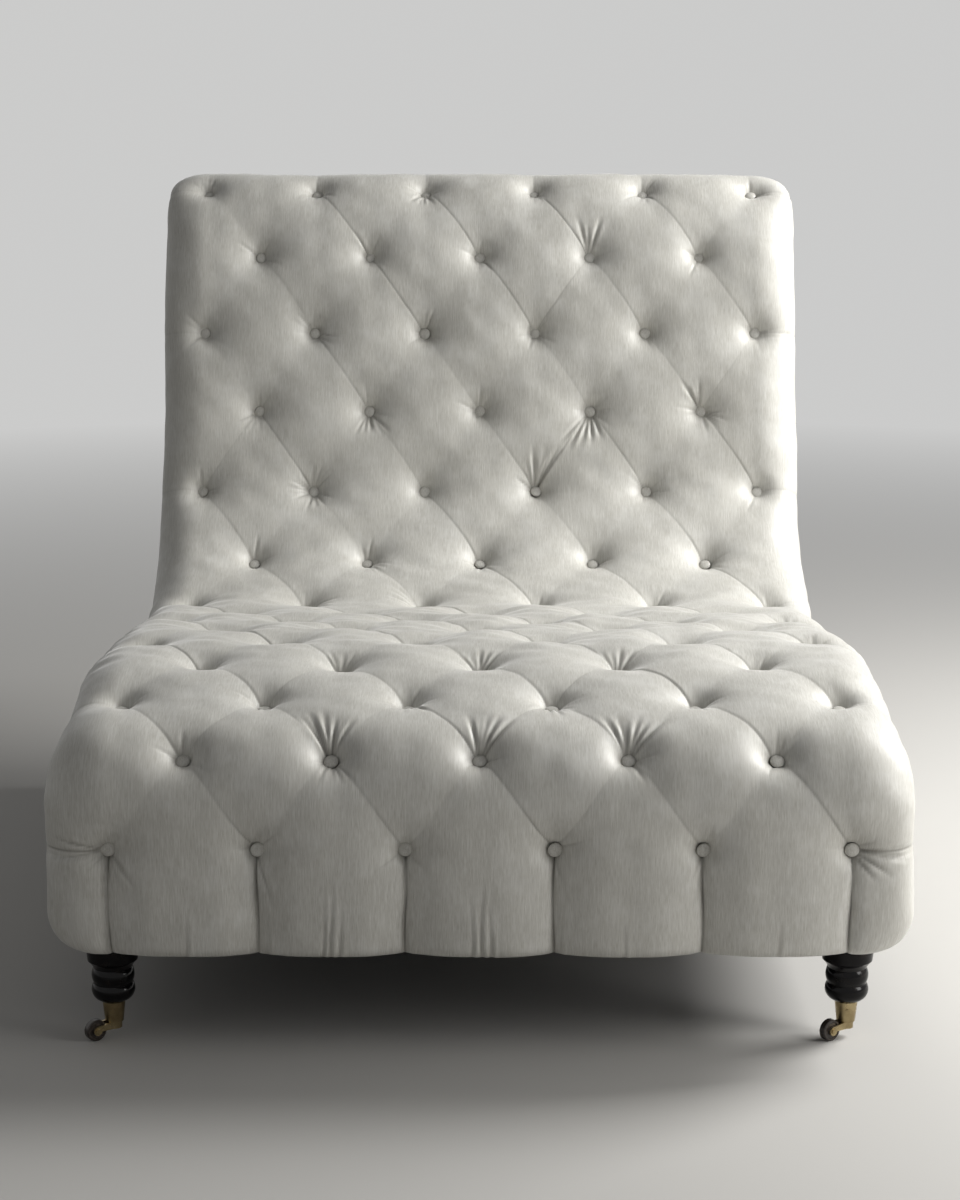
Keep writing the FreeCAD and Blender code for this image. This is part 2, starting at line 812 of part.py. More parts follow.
def revolve_about_axle(points):
    """Revolves a (distance along the axle, radius) outline about the axle."""
    ring = [V(0, along, radius) for along, radius in points]
    wire = Part.makePolygon(ring + [ring[0]])
    wheel = Part.Face(wire).revolve(V(0, 0, 0), V(0, 1, 0), 360)
    return wheel.translated(V(caster_trail, 0, wheel_radius))


def make_wheel():
    """Solid wheel with eased tread edges, recessed faces and a bored hub."""
    half = wheel_width / 2
    bore = axle_radius + running_gap
    recess = 1.2
    rim = wheel_radius - 3.2
    hub = axle_radius + 3.0
    ease = 1.3
    right = [(half, bore), (half, hub), (half - recess, hub + 0.8), (half - recess, rim - 0.8), (half, rim),
             (half, wheel_radius - ease), (half - ease, wheel_radius)]
    left = [(-along, radius) for along, radius in reversed(right)]
    return revolve_about_axle(right + left)


def make_axle():
    """Riveted pin that passes through both arms and the wheel."""
    reach = wheel_width / 2 + wheel_side_gap + arm_thickness
    pin = Part.makeCylinder(axle_radius, 2 * reach, V(caster_trail, -reach, wheel_radius), V(0, 1, 0))
    for start in (-reach - axle_head, reach):
        pin = pin.fuse(Part.makeCylinder(axle_head_radius, axle_head, V(caster_trail, start, wheel_radius), V(0, 1, 0)))
    return pin


def on_leg(shape, x, y):
    """A caster piece turned to where it trails at rest, under its leg."""
    turned = shape.copy()
    turned.rotate(V(0, 0, 0), V(0, 0, 1), caster_rest_angle)
    return turned.translated(V(x, y, 0))


def pad_limits():
    """Stations where one pad ends and the next begins, half way between two rows."""
    def middle(row):
        return row_station(row) + row_pitch / 2

    return [0.0, middle(13), middle(8), middle(4), middle(1), path_end]


def make_parts():
    limits = pad_limits()
    names = ["foot_pad", "seat_pad", "lap_pad", "back_pad", "roll_pad"]
    parts = {name: make_pad(a, b) for name, a, b in zip(names, limits, limits[1:])}
    parts["tufted_cover"] = make_tufted_cover()
    parts["foot_buttons"] = make_buttons(range(12, row_count))
    parts["seat_buttons"] = make_buttons(range(6, 12))
    parts["back_buttons"] = make_buttons(range(0, 6))
    parts["button_ties"] = make_ties()
    parts["button_toggles"] = make_toggles()
    parts["deck_cloth"] = make_deck()
    parts["seat_webbing_long"] = long_straps(deck_start, seat_web_end - fit_gap)
    parts["seat_webbing_cross"] = cross_straps(range(7, 13))
    parts["back_webbing_long"] = long_straps(seat_web_end + fit_gap, deck_end)
    parts["back_webbing_cross"] = cross_straps(range(1, 5))

    timber_out = side_inner + side_thickness
    slab = side_slab(side_inner, timber_out, 2 * fit_gap, timber_inset, core_radius)
    batting = side_slab(timber_out, timber_out + side_pad - fit_gap, side_panel_gap, timber_inset, core_radius)
    panel_x = timber_out + side_pad
    panel = side_slab(panel_x, panel_x + cover_thickness, side_panel_gap, 0.0, core_radius)
    for side, turn in (("right", lambda shape: shape), ("left", mirrored)):
        parts["seat_side_" + side] = turn(cut_at_joint(slab, False))
        parts["back_side_" + side] = turn(cut_at_joint(slab, True))
        parts["side_batting_" + side] = turn(batting)
        parts["side_panel_" + side] = turn(panel)
    parts["outside_back_batting"] = make_outside_layer(cover_out, outside_pad)
    parts["outside_back_panel"] = make_outside_layer(0.0, cover_thickness)

    parts["front_rail"] = make_front_rail()
    parts["rear_rail"] = make_rear_rail()
    parts["seat_stretchers"] = make_stretchers()
    parts["seat_back_rail"] = profile_rail(seat_web_end)
    parts["middle_back_rail"] = profile_rail(row_station(3))
    parts["upper_back_rail"] = profile_rail(deck_end - rail_height / 2)
    parts["roll_rail"] = Part.makeCylinder(
        core_radius, 2 * side_inner, V(-side_inner, roll_y + front_y, roll_z), V(1, 0, 0))
    parts["corner_blocks"] = make_corner_blocks()
    parts["dust_cover"] = make_dust_cover()
    parts["leg_bolts"] = make_leg_bolts()
    parts["leg_nuts"] = make_leg_nuts()
    parts["ferrule_screws"] = make_ferrule_screws()

    ferrule, horn, wheel, axle = make_ferrule(), make_horn(), make_wheel(), make_axle()
    for name, (x, y) in leg_spots.items():
        parts["leg_" + name] = make_leg(x, y)
        parts["ferrule_" + name] = ferrule.translated(V(x, y, 0))
        parts["caster_horn_" + name] = on_leg(horn, x, y)
        parts["caster_wheel_" + name] = on_leg(wheel, x, y)
        parts["caster_axle_" + name] = on_leg(axle, x, y)
    return parts


os.makedirs("parts", exist_ok=True)
for node, shape in make_parts().items():
    shape.exportStep("parts/" + node + ".step")
    print(node, len(shape.Solids), round(shape.Volume / 1e3, 1), "cm3", "" if shape.isValid() else "NOT VALID")
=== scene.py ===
# The looks of a deep-buttoned double chaise longue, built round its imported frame. Metres, +Z up.
import json
import math

import bmesh
import bpy
import numpy as np
from mathutils import Matrix, Vector
from mathutils.kdtree import KDTree


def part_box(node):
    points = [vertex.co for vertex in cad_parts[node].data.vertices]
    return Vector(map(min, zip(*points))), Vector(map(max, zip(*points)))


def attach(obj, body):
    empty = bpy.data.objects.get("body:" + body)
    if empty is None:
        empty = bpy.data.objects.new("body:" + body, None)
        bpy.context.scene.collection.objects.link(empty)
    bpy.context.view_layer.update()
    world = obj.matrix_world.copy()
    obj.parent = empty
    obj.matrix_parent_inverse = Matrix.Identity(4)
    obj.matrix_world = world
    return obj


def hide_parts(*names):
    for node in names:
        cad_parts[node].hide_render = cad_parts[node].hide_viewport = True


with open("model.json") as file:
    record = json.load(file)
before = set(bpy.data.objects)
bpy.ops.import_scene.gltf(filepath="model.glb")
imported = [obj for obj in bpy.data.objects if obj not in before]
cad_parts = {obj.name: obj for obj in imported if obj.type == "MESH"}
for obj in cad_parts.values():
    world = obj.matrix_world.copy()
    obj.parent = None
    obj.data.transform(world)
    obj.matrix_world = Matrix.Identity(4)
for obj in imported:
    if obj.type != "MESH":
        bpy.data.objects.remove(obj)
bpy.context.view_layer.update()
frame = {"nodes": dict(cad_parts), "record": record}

mm = 0.001
nodes = frame["nodes"]

# Tufting: the same places as in the frame's source
half_pitch = 101.5 * mm
row_pitch = 146 * mm
row_count = 15
lowest_row = 150 * mm
edge_column = 5
edge_x = edge_column * half_pitch

# Side profile, from the bottom edge of the foot up and over to the end of the roll
frame_bottom = 155 * mm
profile = [
    ("line", 194 * mm),
    ("arc", 119 * mm, 16.0),
    ("arc", 1075 * mm, -6.9),
    ("line", 454 * mm),
    ("arc", 320 * mm, 72.6),
    ("line", 318 * mm),
    ("arc", 430 * mm, 47.6),
    ("arc", 84 * mm, -160.0),
]
cover_out = 2.3 * mm
front_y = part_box("tufted_cover")[0].y + cover_out

# Padding
half_width = 583 * mm
foot_half_width = 595 * mm
foot_corner_inset = 45 * mm
pad_thickness = 80 * mm
roll_pad_thickness = 48 * mm
edge_drop = 55 * mm
side_draw_in = 6 * mm
chord_ease = 1.2 * mm
roll_draw_in = 8 * mm
roll_draw_before = 60 * mm
roll_draw_length = 160 * mm
least_low_side = 15 * mm
flank_arc = 0.78
low_side_release = 1.2


# Profile: spans of (start, y, z, heading, curvature), each tangent to the last
def make_spans():
    spans = []
    s, y, z, heading = 0.0, 0.0, frame_bottom, math.radians(90.0)
    for turn in profile:
        if turn[0] == "line":
            length, curvature, end = turn[1], 0.0, heading
        else:
            end = math.radians(turn[2])
            curvature = math.copysign(1.0 / turn[1], end - heading)
            length = abs(end - heading) * turn[1]
        spans.append((s, y, z, heading, curvature))
        if curvature:
            y += (math.sin(end) - math.sin(heading)) / curvature
            z -= (math.cos(end) - math.cos(heading)) / curvature
        else:
            y += length * math.cos(heading)
            z += length * math.sin(heading)
        s, heading = s + length, end
    return np.array(spans), s


spans, path_end = make_spans()
lap_start, back_start, roll_start = spans[4][0], spans[5][0], spans[7][0]


def at(s):
    """(y, z, heading) of the crown line at stations s, an array."""
    index = np.clip(np.searchsorted(spans[:, 0], s, side="right") - 1, 0, len(spans) - 1)
    start, y, z, heading, curvature = np.moveaxis(spans[index], -1, 0)
    run = s - start
    end = heading + curvature * run
    bent = np.abs(curvature) > 0
    safe = np.where(bent, curvature, 1.0)
    y = y + np.where(bent, (np.sin(end) - np.sin(heading)) / safe, run * np.cos(heading))
    z = z + np.where(bent, (np.cos(heading) - np.cos(end)) / safe, run * np.sin(heading))
    return y + front_y, z, end


def row_station(row):
    """Station of a row, counted from the top."""
    return lowest_row + (row_count - 1 - row) * row_pitch


def smooth(t):
    t = np.clip(t, 0.0, 1.0)
    return t * t * (3.0 - 2.0 * t)


def bell(distance, width):
    return np.exp(-((distance / width) ** 2))


noise_waves = 9
noise_rates = (0.7, 1.6)
noise_scale = 3.2
hash_i, hash_j, hash_seed, hash_gain = 127.1, 311.7, 74.7, 43758.5453


def noise_field(x, y, size, seed):
    """Smooth seeded noise of about -1 to 1, with features of the given size."""
    rng = np.random.default_rng(seed)
    total = np.zeros(np.broadcast(x, y).shape)
    for _ in range(noise_waves):
        angle, phase = rng.uniform(0, 2 * math.pi, 2)
        rate = rng.uniform(*noise_rates) * 2 * math.pi / size
        total += np.sin((x * math.cos(angle) + y * math.sin(angle)) * rate + phase)
    return total / noise_scale


def hashed(i, j, seed):
    """A seeded number from 0 to 1 for each pair of whole numbers."""
    value = np.sin(i * hash_i + j * hash_j + seed * hash_seed) * hash_gain
    return value - np.floor(value)


# The pit round each button and the dimple that holds it
pit_radius = 88 * mm
pit_depth = 9 * mm
pit_power = 1.8
dimple_depth = 38 * mm
dimple_radius = 14 * mm
dimple_round = 4 * mm

# Soft valleys between the diamonds, flatter on the back
fold_valley = 3.2 * mm
soft_valley = 2 * mm
valley_power = 1.7
back_flattening = 0.74

# Crisp folds in the valleys: a step to one side, a groove, cloth pulled into it, and painted shade along the
# line
fold_spacing = 2 * half_pitch * row_pitch / math.hypot(half_pitch, row_pitch)
fold_slope = math.atan2(row_pitch, half_pitch)
fold_start = 6 * mm
fold_onset = 8 * mm
fold_bow = 2.5 * mm
fold_step = 1.2 * mm
fold_edge = 1 * mm
fold_reach = 7 * mm
fold_groove = 1.2 * mm
fold_groove_width = 1.7 * mm
fold_shade = 0.85
fold_shade_aside = 0.4 * mm
fold_shade_width = 1.2 * mm
fold_pull = 0.55
fold_pull_width = 7 * mm
left_step = 0.8 * mm
left_groove = 1.5 * mm
left_groove_width = 1.9 * mm
left_shade = 0.7

# Upright channels below the lowest row and over the roll; the foot sinks towards them
channel_depth = 10 * mm
channel_width = 9 * mm
channel_slit = 6 * mm
channel_wander = 1.5 * mm
channel_wave = 31 * mm
channel_swell = 19 * mm
channel_step = 1.6 * mm
channel_step_edge = 1.3 * mm
channel_step_reach = 9 * mm
channel_shade = 0.9
channel_shade_aside = 0.7 * mm
channel_shade_width = 1.7 * mm
channel_pull = 0.65
channel_pull_width = 6 * mm
roll_channel_fade = 35 * mm
panel_puff = 13 * mm
panel_puff_width = 40 * mm
panel_puff_rise = 70 * mm

# Fine upright puckers at the foot: a groove and a smaller lip beside it
pucker_wander = 2 * mm
pucker_wave = 26 * mm
pucker_width = 2.6 * mm
pucker_lip = 0.7
pucker_lip_aside = 6 * mm
pucker_lip_width = 3.4 * mm
pucker_shade = 0.35
pucker_shade_width = 1.7 * mm

# Level tucks to the sides: grooves as (distance above the row, depth, width), and a step
tuck_grooves = [(0.0, 3.2 * mm, 13 * mm), (0.0, 2.4 * mm, 2.4 * mm), (-9 * mm, 1.8 * mm, 2.2 * mm)]
tuck_step = 0.9 * mm
tuck_step_edge = 1.5 * mm
tuck_step_reach = 9 * mm
tuck_shade = 0.7
tuck_shade_width = 1.9 * mm

# Gathers that fan out from the buttons: a widening groove between two small lips
gathers_each = 6
gather_start = 6 * mm
gather_onset = 9 * mm
gather_extra = 14 * mm
gather_full = 0.4
gather_depth = 4.2 * mm
gather_width = 1.7 * mm
gather_widening = 0.05
gather_lip = 0.35
gather_lip_width = 4.5 * mm
gather_lip_widening = 0.08
gather_shade = 0.55
gather_shade_width = 1.5 * mm

# The bottom edge is drawn in under the rail, and the velvet sinks a little over the roll
bottom_round = 16 * mm
bottom_tuck = 13 * mm
bottom_slope_height = 60 * mm
bottom_slope = 3 * mm
roll_sink = 3 * mm

# Uneven stuffing as (depth, size of its features, seed), and the seat rumpled from use
stuffing_waves = [(1.3 * mm, 0.26, 5), (0.35 * mm, 0.07, 6)]
sat_on_row = 8.5
sat_on_rows = 2.6
sat_on_clear = 45 * mm
sat_on_depth = 3 * mm
sat_on_fine_depth = 1.2 * mm

# Folds of the back, from a button down to the right: (row from the top, column, strength)
back_folds = [
    (0, -5, 0.0), (0, -3, 1.0), (0, -1, 1.0), (0, 1, 1.1), (0, 3, 0.9),
    (1, -4, 0.4), (1, -2, 1.0), (1, 0, 0.9), (1, 2, 0.9), (1, 4, 0.9),
    (2, -5, 0.05), (2, -3, 0.7), (2, -1, 0.55), (2, 1, 0.4), (2, 3, 0.4),
    (3, -4, 0.9), (3, -2, 0.55), (3, 0, 1.0), (3, 2, 0.9), (3, 4, 1.2),
    (4, -5, 0.7), (4, -3, 0.05), (4, -1, 0.9), (4, 1, 0.45), (4, 3, 0.9),
    (5, -4, 0.4), (5, -2, 0.5), (5, 0, 0.9), (5, 2, 0.5), (5, 4, 0.9),
]

# Folds from a button down to the left, in the same form
left_folds = [
    (1, 2, 0.6), (3, 2, 1.2), (2, 5, 0.35), (3, -4, 0.3), (12, -3, 0.4), (12, 1, 0.4),
    (11, 2, 0.5), (11, -2, 0.4), (13, 2, 0.25), (9, 0, 0.4), (7, -2, 0.4), (10, 3, 0.4),
]

# Upright puckers at the foot: (across in mm, height in mm, depth in mm)
puckers = [
    (-214, 95, 1.6), (-203, 120, 1.9), (-190, 80, 1.2), (-12, 95, 1.5), (3, 118, 1.9), (14, 84, 1.4),
    (-402, 70, 1.0), (196, 60, 0.9), (408, 64, 0.8), (-96, 60, 1.1), (-290, 66, 1.0), (112, 52, 0.9),
]

# Strong gathers seen in the photograph, with heading and spread in degrees and length in mm:
# (row from the top, column, heading, spread, folds, length, size)
strong_gathers = [
    (0, -3, -120, 40, 3, 30, 0.6), (0, -1, -96, 60, 5, 34, 0.9),
    (0, 1, -92, 50, 4, 32, 0.8), (0, 3, -80, 40, 3, 30, 0.6),
    (1, 2, 92, 34, 3, 62, 1.0), (2, -3, -35, 40, 3, 40, 0.7),
    (2, -1, 70, 30, 3, 34, 0.5), (3, -4, -120, 60, 4, 36, 0.6),
    (3, -2, -84, 70, 6, 44, 0.9), (3, 2, -112, 40, 4, 74, 1.2),
    (3, 2, -88, 30, 3, 60, 1.1), (3, 4, 112, 34, 4, 52, 1.0),
    (3, 4, -30, 40, 4, 40, 0.9), (4, -3, 170, 80, 6, 42, 0.9),
    (4, -3, -70, 60, 4, 38, 0.7), (4, -3, 60, 50, 4, 36, 0.7),
    (4, 1, 78, 34, 5, 72, 1.3), (4, 1, 130, 40, 4, 36, 0.8),
    (5, -2, -40, 36, 3, 60, 1.0), (5, 0, -85, 50, 4, 34, 0.6),
    (5, 4, -60, 40, 3, 40, 0.5), (6, -3, -20, 40, 3, 60, 0.9),
    (6, -1, 150, 30, 3, 58, 0.9), (7, -2, 80, 60, 4, 44, 0.7),
    (7, 2, 60, 50, 3, 44, 0.7), (9, -2, 95, 60, 4, 44, 0.8),
    (9, 2, 70, 60, 4, 44, 0.8), (11, 0, 92, 70, 5, 46, 0.9),
    (11, 2, 80, 70, 5, 46, 0.9), (11, -2, 100, 60, 4, 40, 0.8),
    (12, -3, -95, 60, 4, 40, 0.7), (12, -1, -92, 60, 5, 46, 1.0),
    (12, 1, -88, 76, 6, 50, 1.1), (12, 3, -85, 50, 4, 40, 0.6),
    (13, -2, 94, 56, 6, 80, 1.4), (13, -2, -88, 40, 4, 34, 0.8),
    (13, 0, 78, 46, 5, 74, 1.3), (13, 2, 84, 62, 6, 72, 1.3),
    (13, 4, 66, 40, 3, 40, 0.6), (14, -5, 178, 26, 3, 62, 1.0),
    (14, -5, -70, 30, 3, 46, 0.8), (14, -3, -84, 18, 2, 70, 1.0),
    (14, -1, -88, 16, 2, 60, 0.7), (14, 1, -86, 16, 2, 60, 0.8),
    (14, 3, -92, 16, 2, 66, 0.9), (14, 5, -60, 44, 4, 52, 1.0),
    (14, 5, -4, 18, 3, 66, 0.8),
]


def nearest_button(u, s):
    """(distance, offset across, offset along, row from the foot, column) of each point's nearest button."""
    q = (s - lowest_row) / row_pitch
    best = None
    for row in (np.floor(q), np.floor(q) + 1):
        row = np.clip(row, 0, row_count - 1)
        odd = row % 2 == 0
        column = np.where(odd, 2 * np.floor(u / half_pitch / 2) + 1, 2 * np.round(u / half_pitch / 2))
        limit = np.where(odd, edge_column, edge_column - 1)
        column = np.clip(column, -limit, limit)
        du = u - column * half_pitch
        ds = s - lowest_row - row * row_pitch
        found = np.stack([np.hypot(du, ds), du, ds, row, column])
        best = found if best is None else np.where(found[0] < best[0], found, best)
    return best


def step_across(distance, edge, reach):
    """A step across a line, from -1 to 1, that fades over its reach."""
    return np.tanh(distance / edge) * np.exp(-np.abs(distance) / reach)


def pits(distance, row, column):
    """Depth of the pits and dimples, which differ a little from button to button."""
    vary = hashed(row, column, 1.0)
    t = np.clip(distance / (pit_radius * (0.94 + 0.12 * hashed(row, column, 2.0))), 0, 1)
    pit = pit_depth * (0.9 + 0.2 * vary) * (1 - t) ** pit_power
    dimple = np.exp(-np.hypot(distance, dimple_round) / dimple_radius)
    return pit + dimple_depth * (0.95 + 0.1 * vary) * dimple


def valleys(a, b):
    """Depth of the soft valleys along both diagonals."""
    right = fold_valley * (1 - np.abs(np.sin(math.pi * a))) ** valley_power
    return right + soft_valley * (1 - np.abs(np.sin(math.pi * b))) ** valley_power


def right_fold(a, b, clear, flatter):
    """(depth, painted crease shade, pull across the line) of the folds that run down to the right, each bowed
    a little.
    """
    line, part = np.round(a), np.floor(b)
    along = b - part
    strength = 0.5 + 0.6 * hashed(line, part, 3.0)
    for from_top, at_column, value in back_folds:
        at_line = (at_column + row_count - 2 - from_top) / 2
        at_part = (at_column + from_top - row_count) / 2
        strength = np.where((line == at_line) & (part == at_part), value, strength)
    bow = fold_bow * (2.4 * hashed(line, part, 4.0) - 0.7) * np.sin(math.pi * along)
    d = (a - line) * fold_spacing - bow
    middle = 0.1 + 0.45 * hashed(line, part, 5.0)
    lasting = middle + 0.45 * np.exp(-along / 0.12) + (1 - middle) * np.exp((along - 1) / 0.26)
    fold = strength * lasting * clear
    depth = fold * fold_groove * bell(d, fold_groove_width)
    depth = depth - flatter * fold * fold_step * step_across(d, fold_edge, fold_reach)
    # Painted shadow: a dark line just beside the fold's edge, later mixed into the velvet's colour.
    crease_shade = fold_shade * fold * bell(d + fold_shade_aside, fold_shade_width)
    return depth, crease_shade, -fold_pull * d * bell(d, fold_pull_width) * np.clip(fold, 0, 1)


def left_fold(a, b, clear):
    """(depth, painted crease shade) of the fewer folds that run down to the left."""
    line, part = np.round(b), np.floor(a)
    strength = np.zeros(a.shape)
    for from_top, at_column, value in left_folds:
        at_line = (at_column + from_top - row_count) / 2
        at_part = (at_column + row_count - 4 - from_top) / 2
        strength = np.where((line == at_line) & (part == at_part), value, strength)
    d = (b - line) * fold_spacing
    fold = strength * (0.3 + 0.7 * np.exp(-(a - part) / 0.3)) * clear
    depth = left_groove * bell(d, left_groove_width) - left_step * step_across(d, fold_edge, fold_reach)
    return fold * depth, left_shade * fold * bell(d, fold_shade_width)


def channels(u, s, p, q):
    """(depth, painted crease shade, shift across) of the upright channels below the lowest row and over the
    roll.
    """
    column = np.clip(2 * np.floor(p / 2) + 1, -edge_column, edge_column)
    below = smooth((0.02 - q) / 0.1)
    above = smooth((q - (row_count - 1) - 0.02) / 0.1)
    wander = channel_wander * np.sin(s / channel_wave + column * 2.1)
    d = u - column * half_pitch - wander * np.clip(np.abs(q) * 4, 0, 1) * below
    fade = np.exp(-np.clip(s - row_station(0), 0, None) / roll_channel_fade)
    reach = below * (1 + 0.25 * np.sin(s / channel_swell + column)) + above * 0.3 * fade
    groove = 0.35 * bell(d, channel_width) + 0.65 * np.exp(-np.abs(d) / channel_slit)
    sunk = panel_puff * bell(d, panel_puff_width) * smooth((lowest_row - s) / panel_puff_rise)
    step = channel_step * step_across(d, channel_step_edge, channel_step_reach)
    crease_shade = channel_shade * reach * bell(d - channel_shade_aside, channel_shade_width)
    pull = -channel_pull * d * bell(d, channel_pull_width) * reach
    return reach * (channel_depth * groove - step) + below * sunk, crease_shade, pull


def foot_puckers(u, s):
    """(depth, painted crease shade) of the puckers between the channels, drawn up from the bottom edge."""
    depth, crease_shade = 0.0, 0.0
    for place, height, size in puckers:
        d = u - place * mm - pucker_wander * np.sin(s / pucker_wave + place)
        rise = np.clip(1 - s / (height * mm), 0, 1)
        lip = pucker_lip * bell(d - pucker_lip_aside, pucker_lip_width)
        depth = depth + size * mm * rise * (bell(d, pucker_width) - lip)
        crease_shade = crease_shade + pucker_shade * rise * bell(d, pucker_shade_width)
    return depth, crease_shade


def side_tucks(p, q):
    """(depth, painted crease shade) of the level tucks that run from the outer buttons to the sides."""
    past = np.abs(p) - edge_column
    outer = smooth((past - 0.08) / 0.1) * (1 - smooth((past - 0.75) / 0.5))
    long_row = np.clip(2 * np.round(q / 2), 0, row_count - 1)
    d = (q - long_row) * row_pitch
    amount = outer * (0.15 + 0.35 * hashed(long_row, np.sign(p), 6.0) + 0.75 * (long_row == 0))
    grooves = sum(size * bell(d - place, width) for place, size, width in tuck_grooves)
    depth = amount * (grooves - tuck_step * step_across(d, tuck_step_edge, tuck_step_reach))
    return depth, tuck_shade * amount * bell(d, tuck_shade_width)


def gather(distance, theta, aim, length):
    """(depth, painted crease shade) of one fold that runs out from a button, fading and widening as it goes.
    """
    across = np.abs(np.arctan2(np.sin(theta - aim), np.cos(theta - aim))) * distance
    length = length + gather_extra
    fading = smooth((distance - gather_full * length) / ((1 - gather_full) * length))
    ramp = smooth((distance - gather_start) / gather_onset) * (1 - fading)
    lip = gather_lip * bell(across, gather_lip_width + gather_lip_widening * distance)
    groove = bell(across, gather_width + gather_widening * distance) - lip
    return gather_depth * ramp * groove, gather_shade * ramp * bell(across, gather_shade_width)


def small_gathers(distance, theta, row, column):
    """(depth, painted crease shade) of a few seeded gathers round every button."""
    depth, crease_shade = 0.0, 0.0
    for k in range(gathers_each):
        aim = 2 * math.pi * hashed(row, column, 10.0 + k)
        size = 0.7 * hashed(row, column, 20.0 + k) ** 2
        length = (20 + 26 * hashed(row, column, 30.0 + k)) * mm
        groove, shade = gather(distance, theta, aim, length)
        depth, crease_shade = depth + size * groove, crease_shade + size * shade
    return depth, crease_shade


def add_strong_gathers(depth, crease_shade, distance, theta, row, column):
    """Adds the strong gathers to the depth and the painted crease shade, in place."""
    for from_top, at_column, heading, spread, folds, length, size in strong_gathers:
        here = (row == row_count - 1 - from_top) & (column == at_column)
        if not here.any():
            continue
        near, angle = distance[here], theta[here]
        for k in range(folds):
            stray = 0.7 * (float(hashed(k, heading + at_column, 9.0)) - 0.5) / folds
            aim = math.radians(heading + spread * (k / (folds - 1) - 0.5 + stray))
            own_size = size * (0.35 + 0.85 * float(hashed(k, heading, 7.0)))
            own_length = length * mm * (0.75 + 0.5 * float(hashed(k, length, 8.0)))
            groove, shade = gather(near, angle, aim, own_length)
            depth[here] += own_size * groove
            crease_shade[here] += own_size * shade


def drawn_ends(s):
    """Depth at the bottom edge and over the roll."""
    curl = bottom_tuck * (1 - np.sqrt(1 - np.clip(1 - s / bottom_round, 0, 1) ** 2))
    slope = bottom_slope * np.clip(1 - s / bottom_slope_height, 0, 1) ** 2
    return curl + slope + roll_sink * smooth((s - roll_start) / (path_end - roll_start))


def stuffing(u, s, distance):
    """Depth of the uneven stuffing, with a rumpled seat."""
    uneven = sum(size * noise_field(u, s, spacing, seed) for size, spacing, seed in stuffing_waves)
    sat_on = bell(s - row_station(sat_on_row), sat_on_rows * row_pitch) * smooth(distance / sat_on_clear)
    rumple = sat_on_depth * noise_field(u, s, 0.17, 15)
    rumple += sat_on_fine_depth * noise_field(0.6 * u, s, 0.055, 16)
    return uneven + sat_on * rumple


def relief(u, s):
    """(depth below the crown, strength of the painted crease shade, shift across, shift along) of the velvet
    at points (u, s).
    """
    p, q = u / half_pitch, (s - lowest_row) / row_pitch
    a, b = (p + q - 1) / 2, (p - q - 1) / 2
    distance, du, ds, row, column = nearest_button(u, s)
    theta = np.arctan2(ds, du)
    inside = 1 - smooth((np.abs(p) - edge_column + 0.15) / 0.3)
    inside = inside * smooth((q + 0.12) / 0.2) * smooth((row_count - 1 - q + 0.12) / 0.2)
    flatter = 1 - back_flattening * smooth((s - lap_start) / (back_start - lap_start))
    clear = inside * smooth((distance - fold_start) / fold_onset)

    depth = pits(distance, row, column) + flatter * inside * valleys(a, b)
    folded, crease_shade, pull = right_fold(a, b, clear, flatter)
    channelled, shade, drawn = channels(u, s, p, q)
    depth, crease_shade = depth + folded + channelled, crease_shade + shade
    for more, shade in (left_fold(a, b, clear), foot_puckers(u, s), side_tucks(p, q),
                        small_gathers(distance, theta, row, column)):
        depth, crease_shade = depth + more, crease_shade + shade
    add_strong_gathers(depth, crease_shade, distance, theta, row, column)
    depth = depth + drawn_ends(s) + stuffing(u, s, distance)
    shift_u, shift_s = pull * math.sin(fold_slope) + drawn, pull * math.cos(fold_slope)
    return depth, np.clip(crease_shade, 0, 1), shift_u, shift_s


# Cross-section of the padding
def padding_at(s):
    start = row_station(1)
    share = np.clip((s - start) / (roll_start - start), 0, 1)
    return pad_thickness + share * (roll_pad_thickness - pad_thickness)


def width_at(s):
    """Half the width at stations s: wider at the foot, with rounded corners, and drawn in at the roll."""
    share = np.clip(1.0 - s / row_station(row_count - 3), 0, 1)
    width = half_width + (foot_half_width - half_width) * np.minimum(1.0, 2 * share)
    corner = np.clip(1.0 - s / edge_drop, 0, 1)
    drawn_in = roll_draw_in * smooth((s - row_station(0) + roll_draw_before) / roll_draw_length)
    return width - foot_corner_inset * (1 - np.sqrt(1 - corner ** 2)) - drawn_in


# Steps of the velvet's grid
top_step = 2.1 * mm
flank_steps = 34
low_steps = 7
under_steps = 30
bottom_length = 18 * mm
bottom_stations = 13
lower_start = 20 * mm
lower_step = 2.6 * mm
station_step = 3 * mm


def section_table():
    """The upper side from left to right as (kind, side, share): kind 0 is top, 1 flank, 2 below it."""
    top = np.linspace(-1, 1, 2 * int(edge_x / top_step) + 1)
    flank = np.linspace(0, 1, flank_steps + 1)[1:]
    low = np.linspace(0, 1, low_steps + 1)[1:]
    right = [(1, 1, f) for f in flank] + [(2, 1, f) for f in low]
    left = [(kind, -1, f) for kind, _, f in reversed(right)]
    return np.array(left + [(0, 0, f) for f in top] + right)


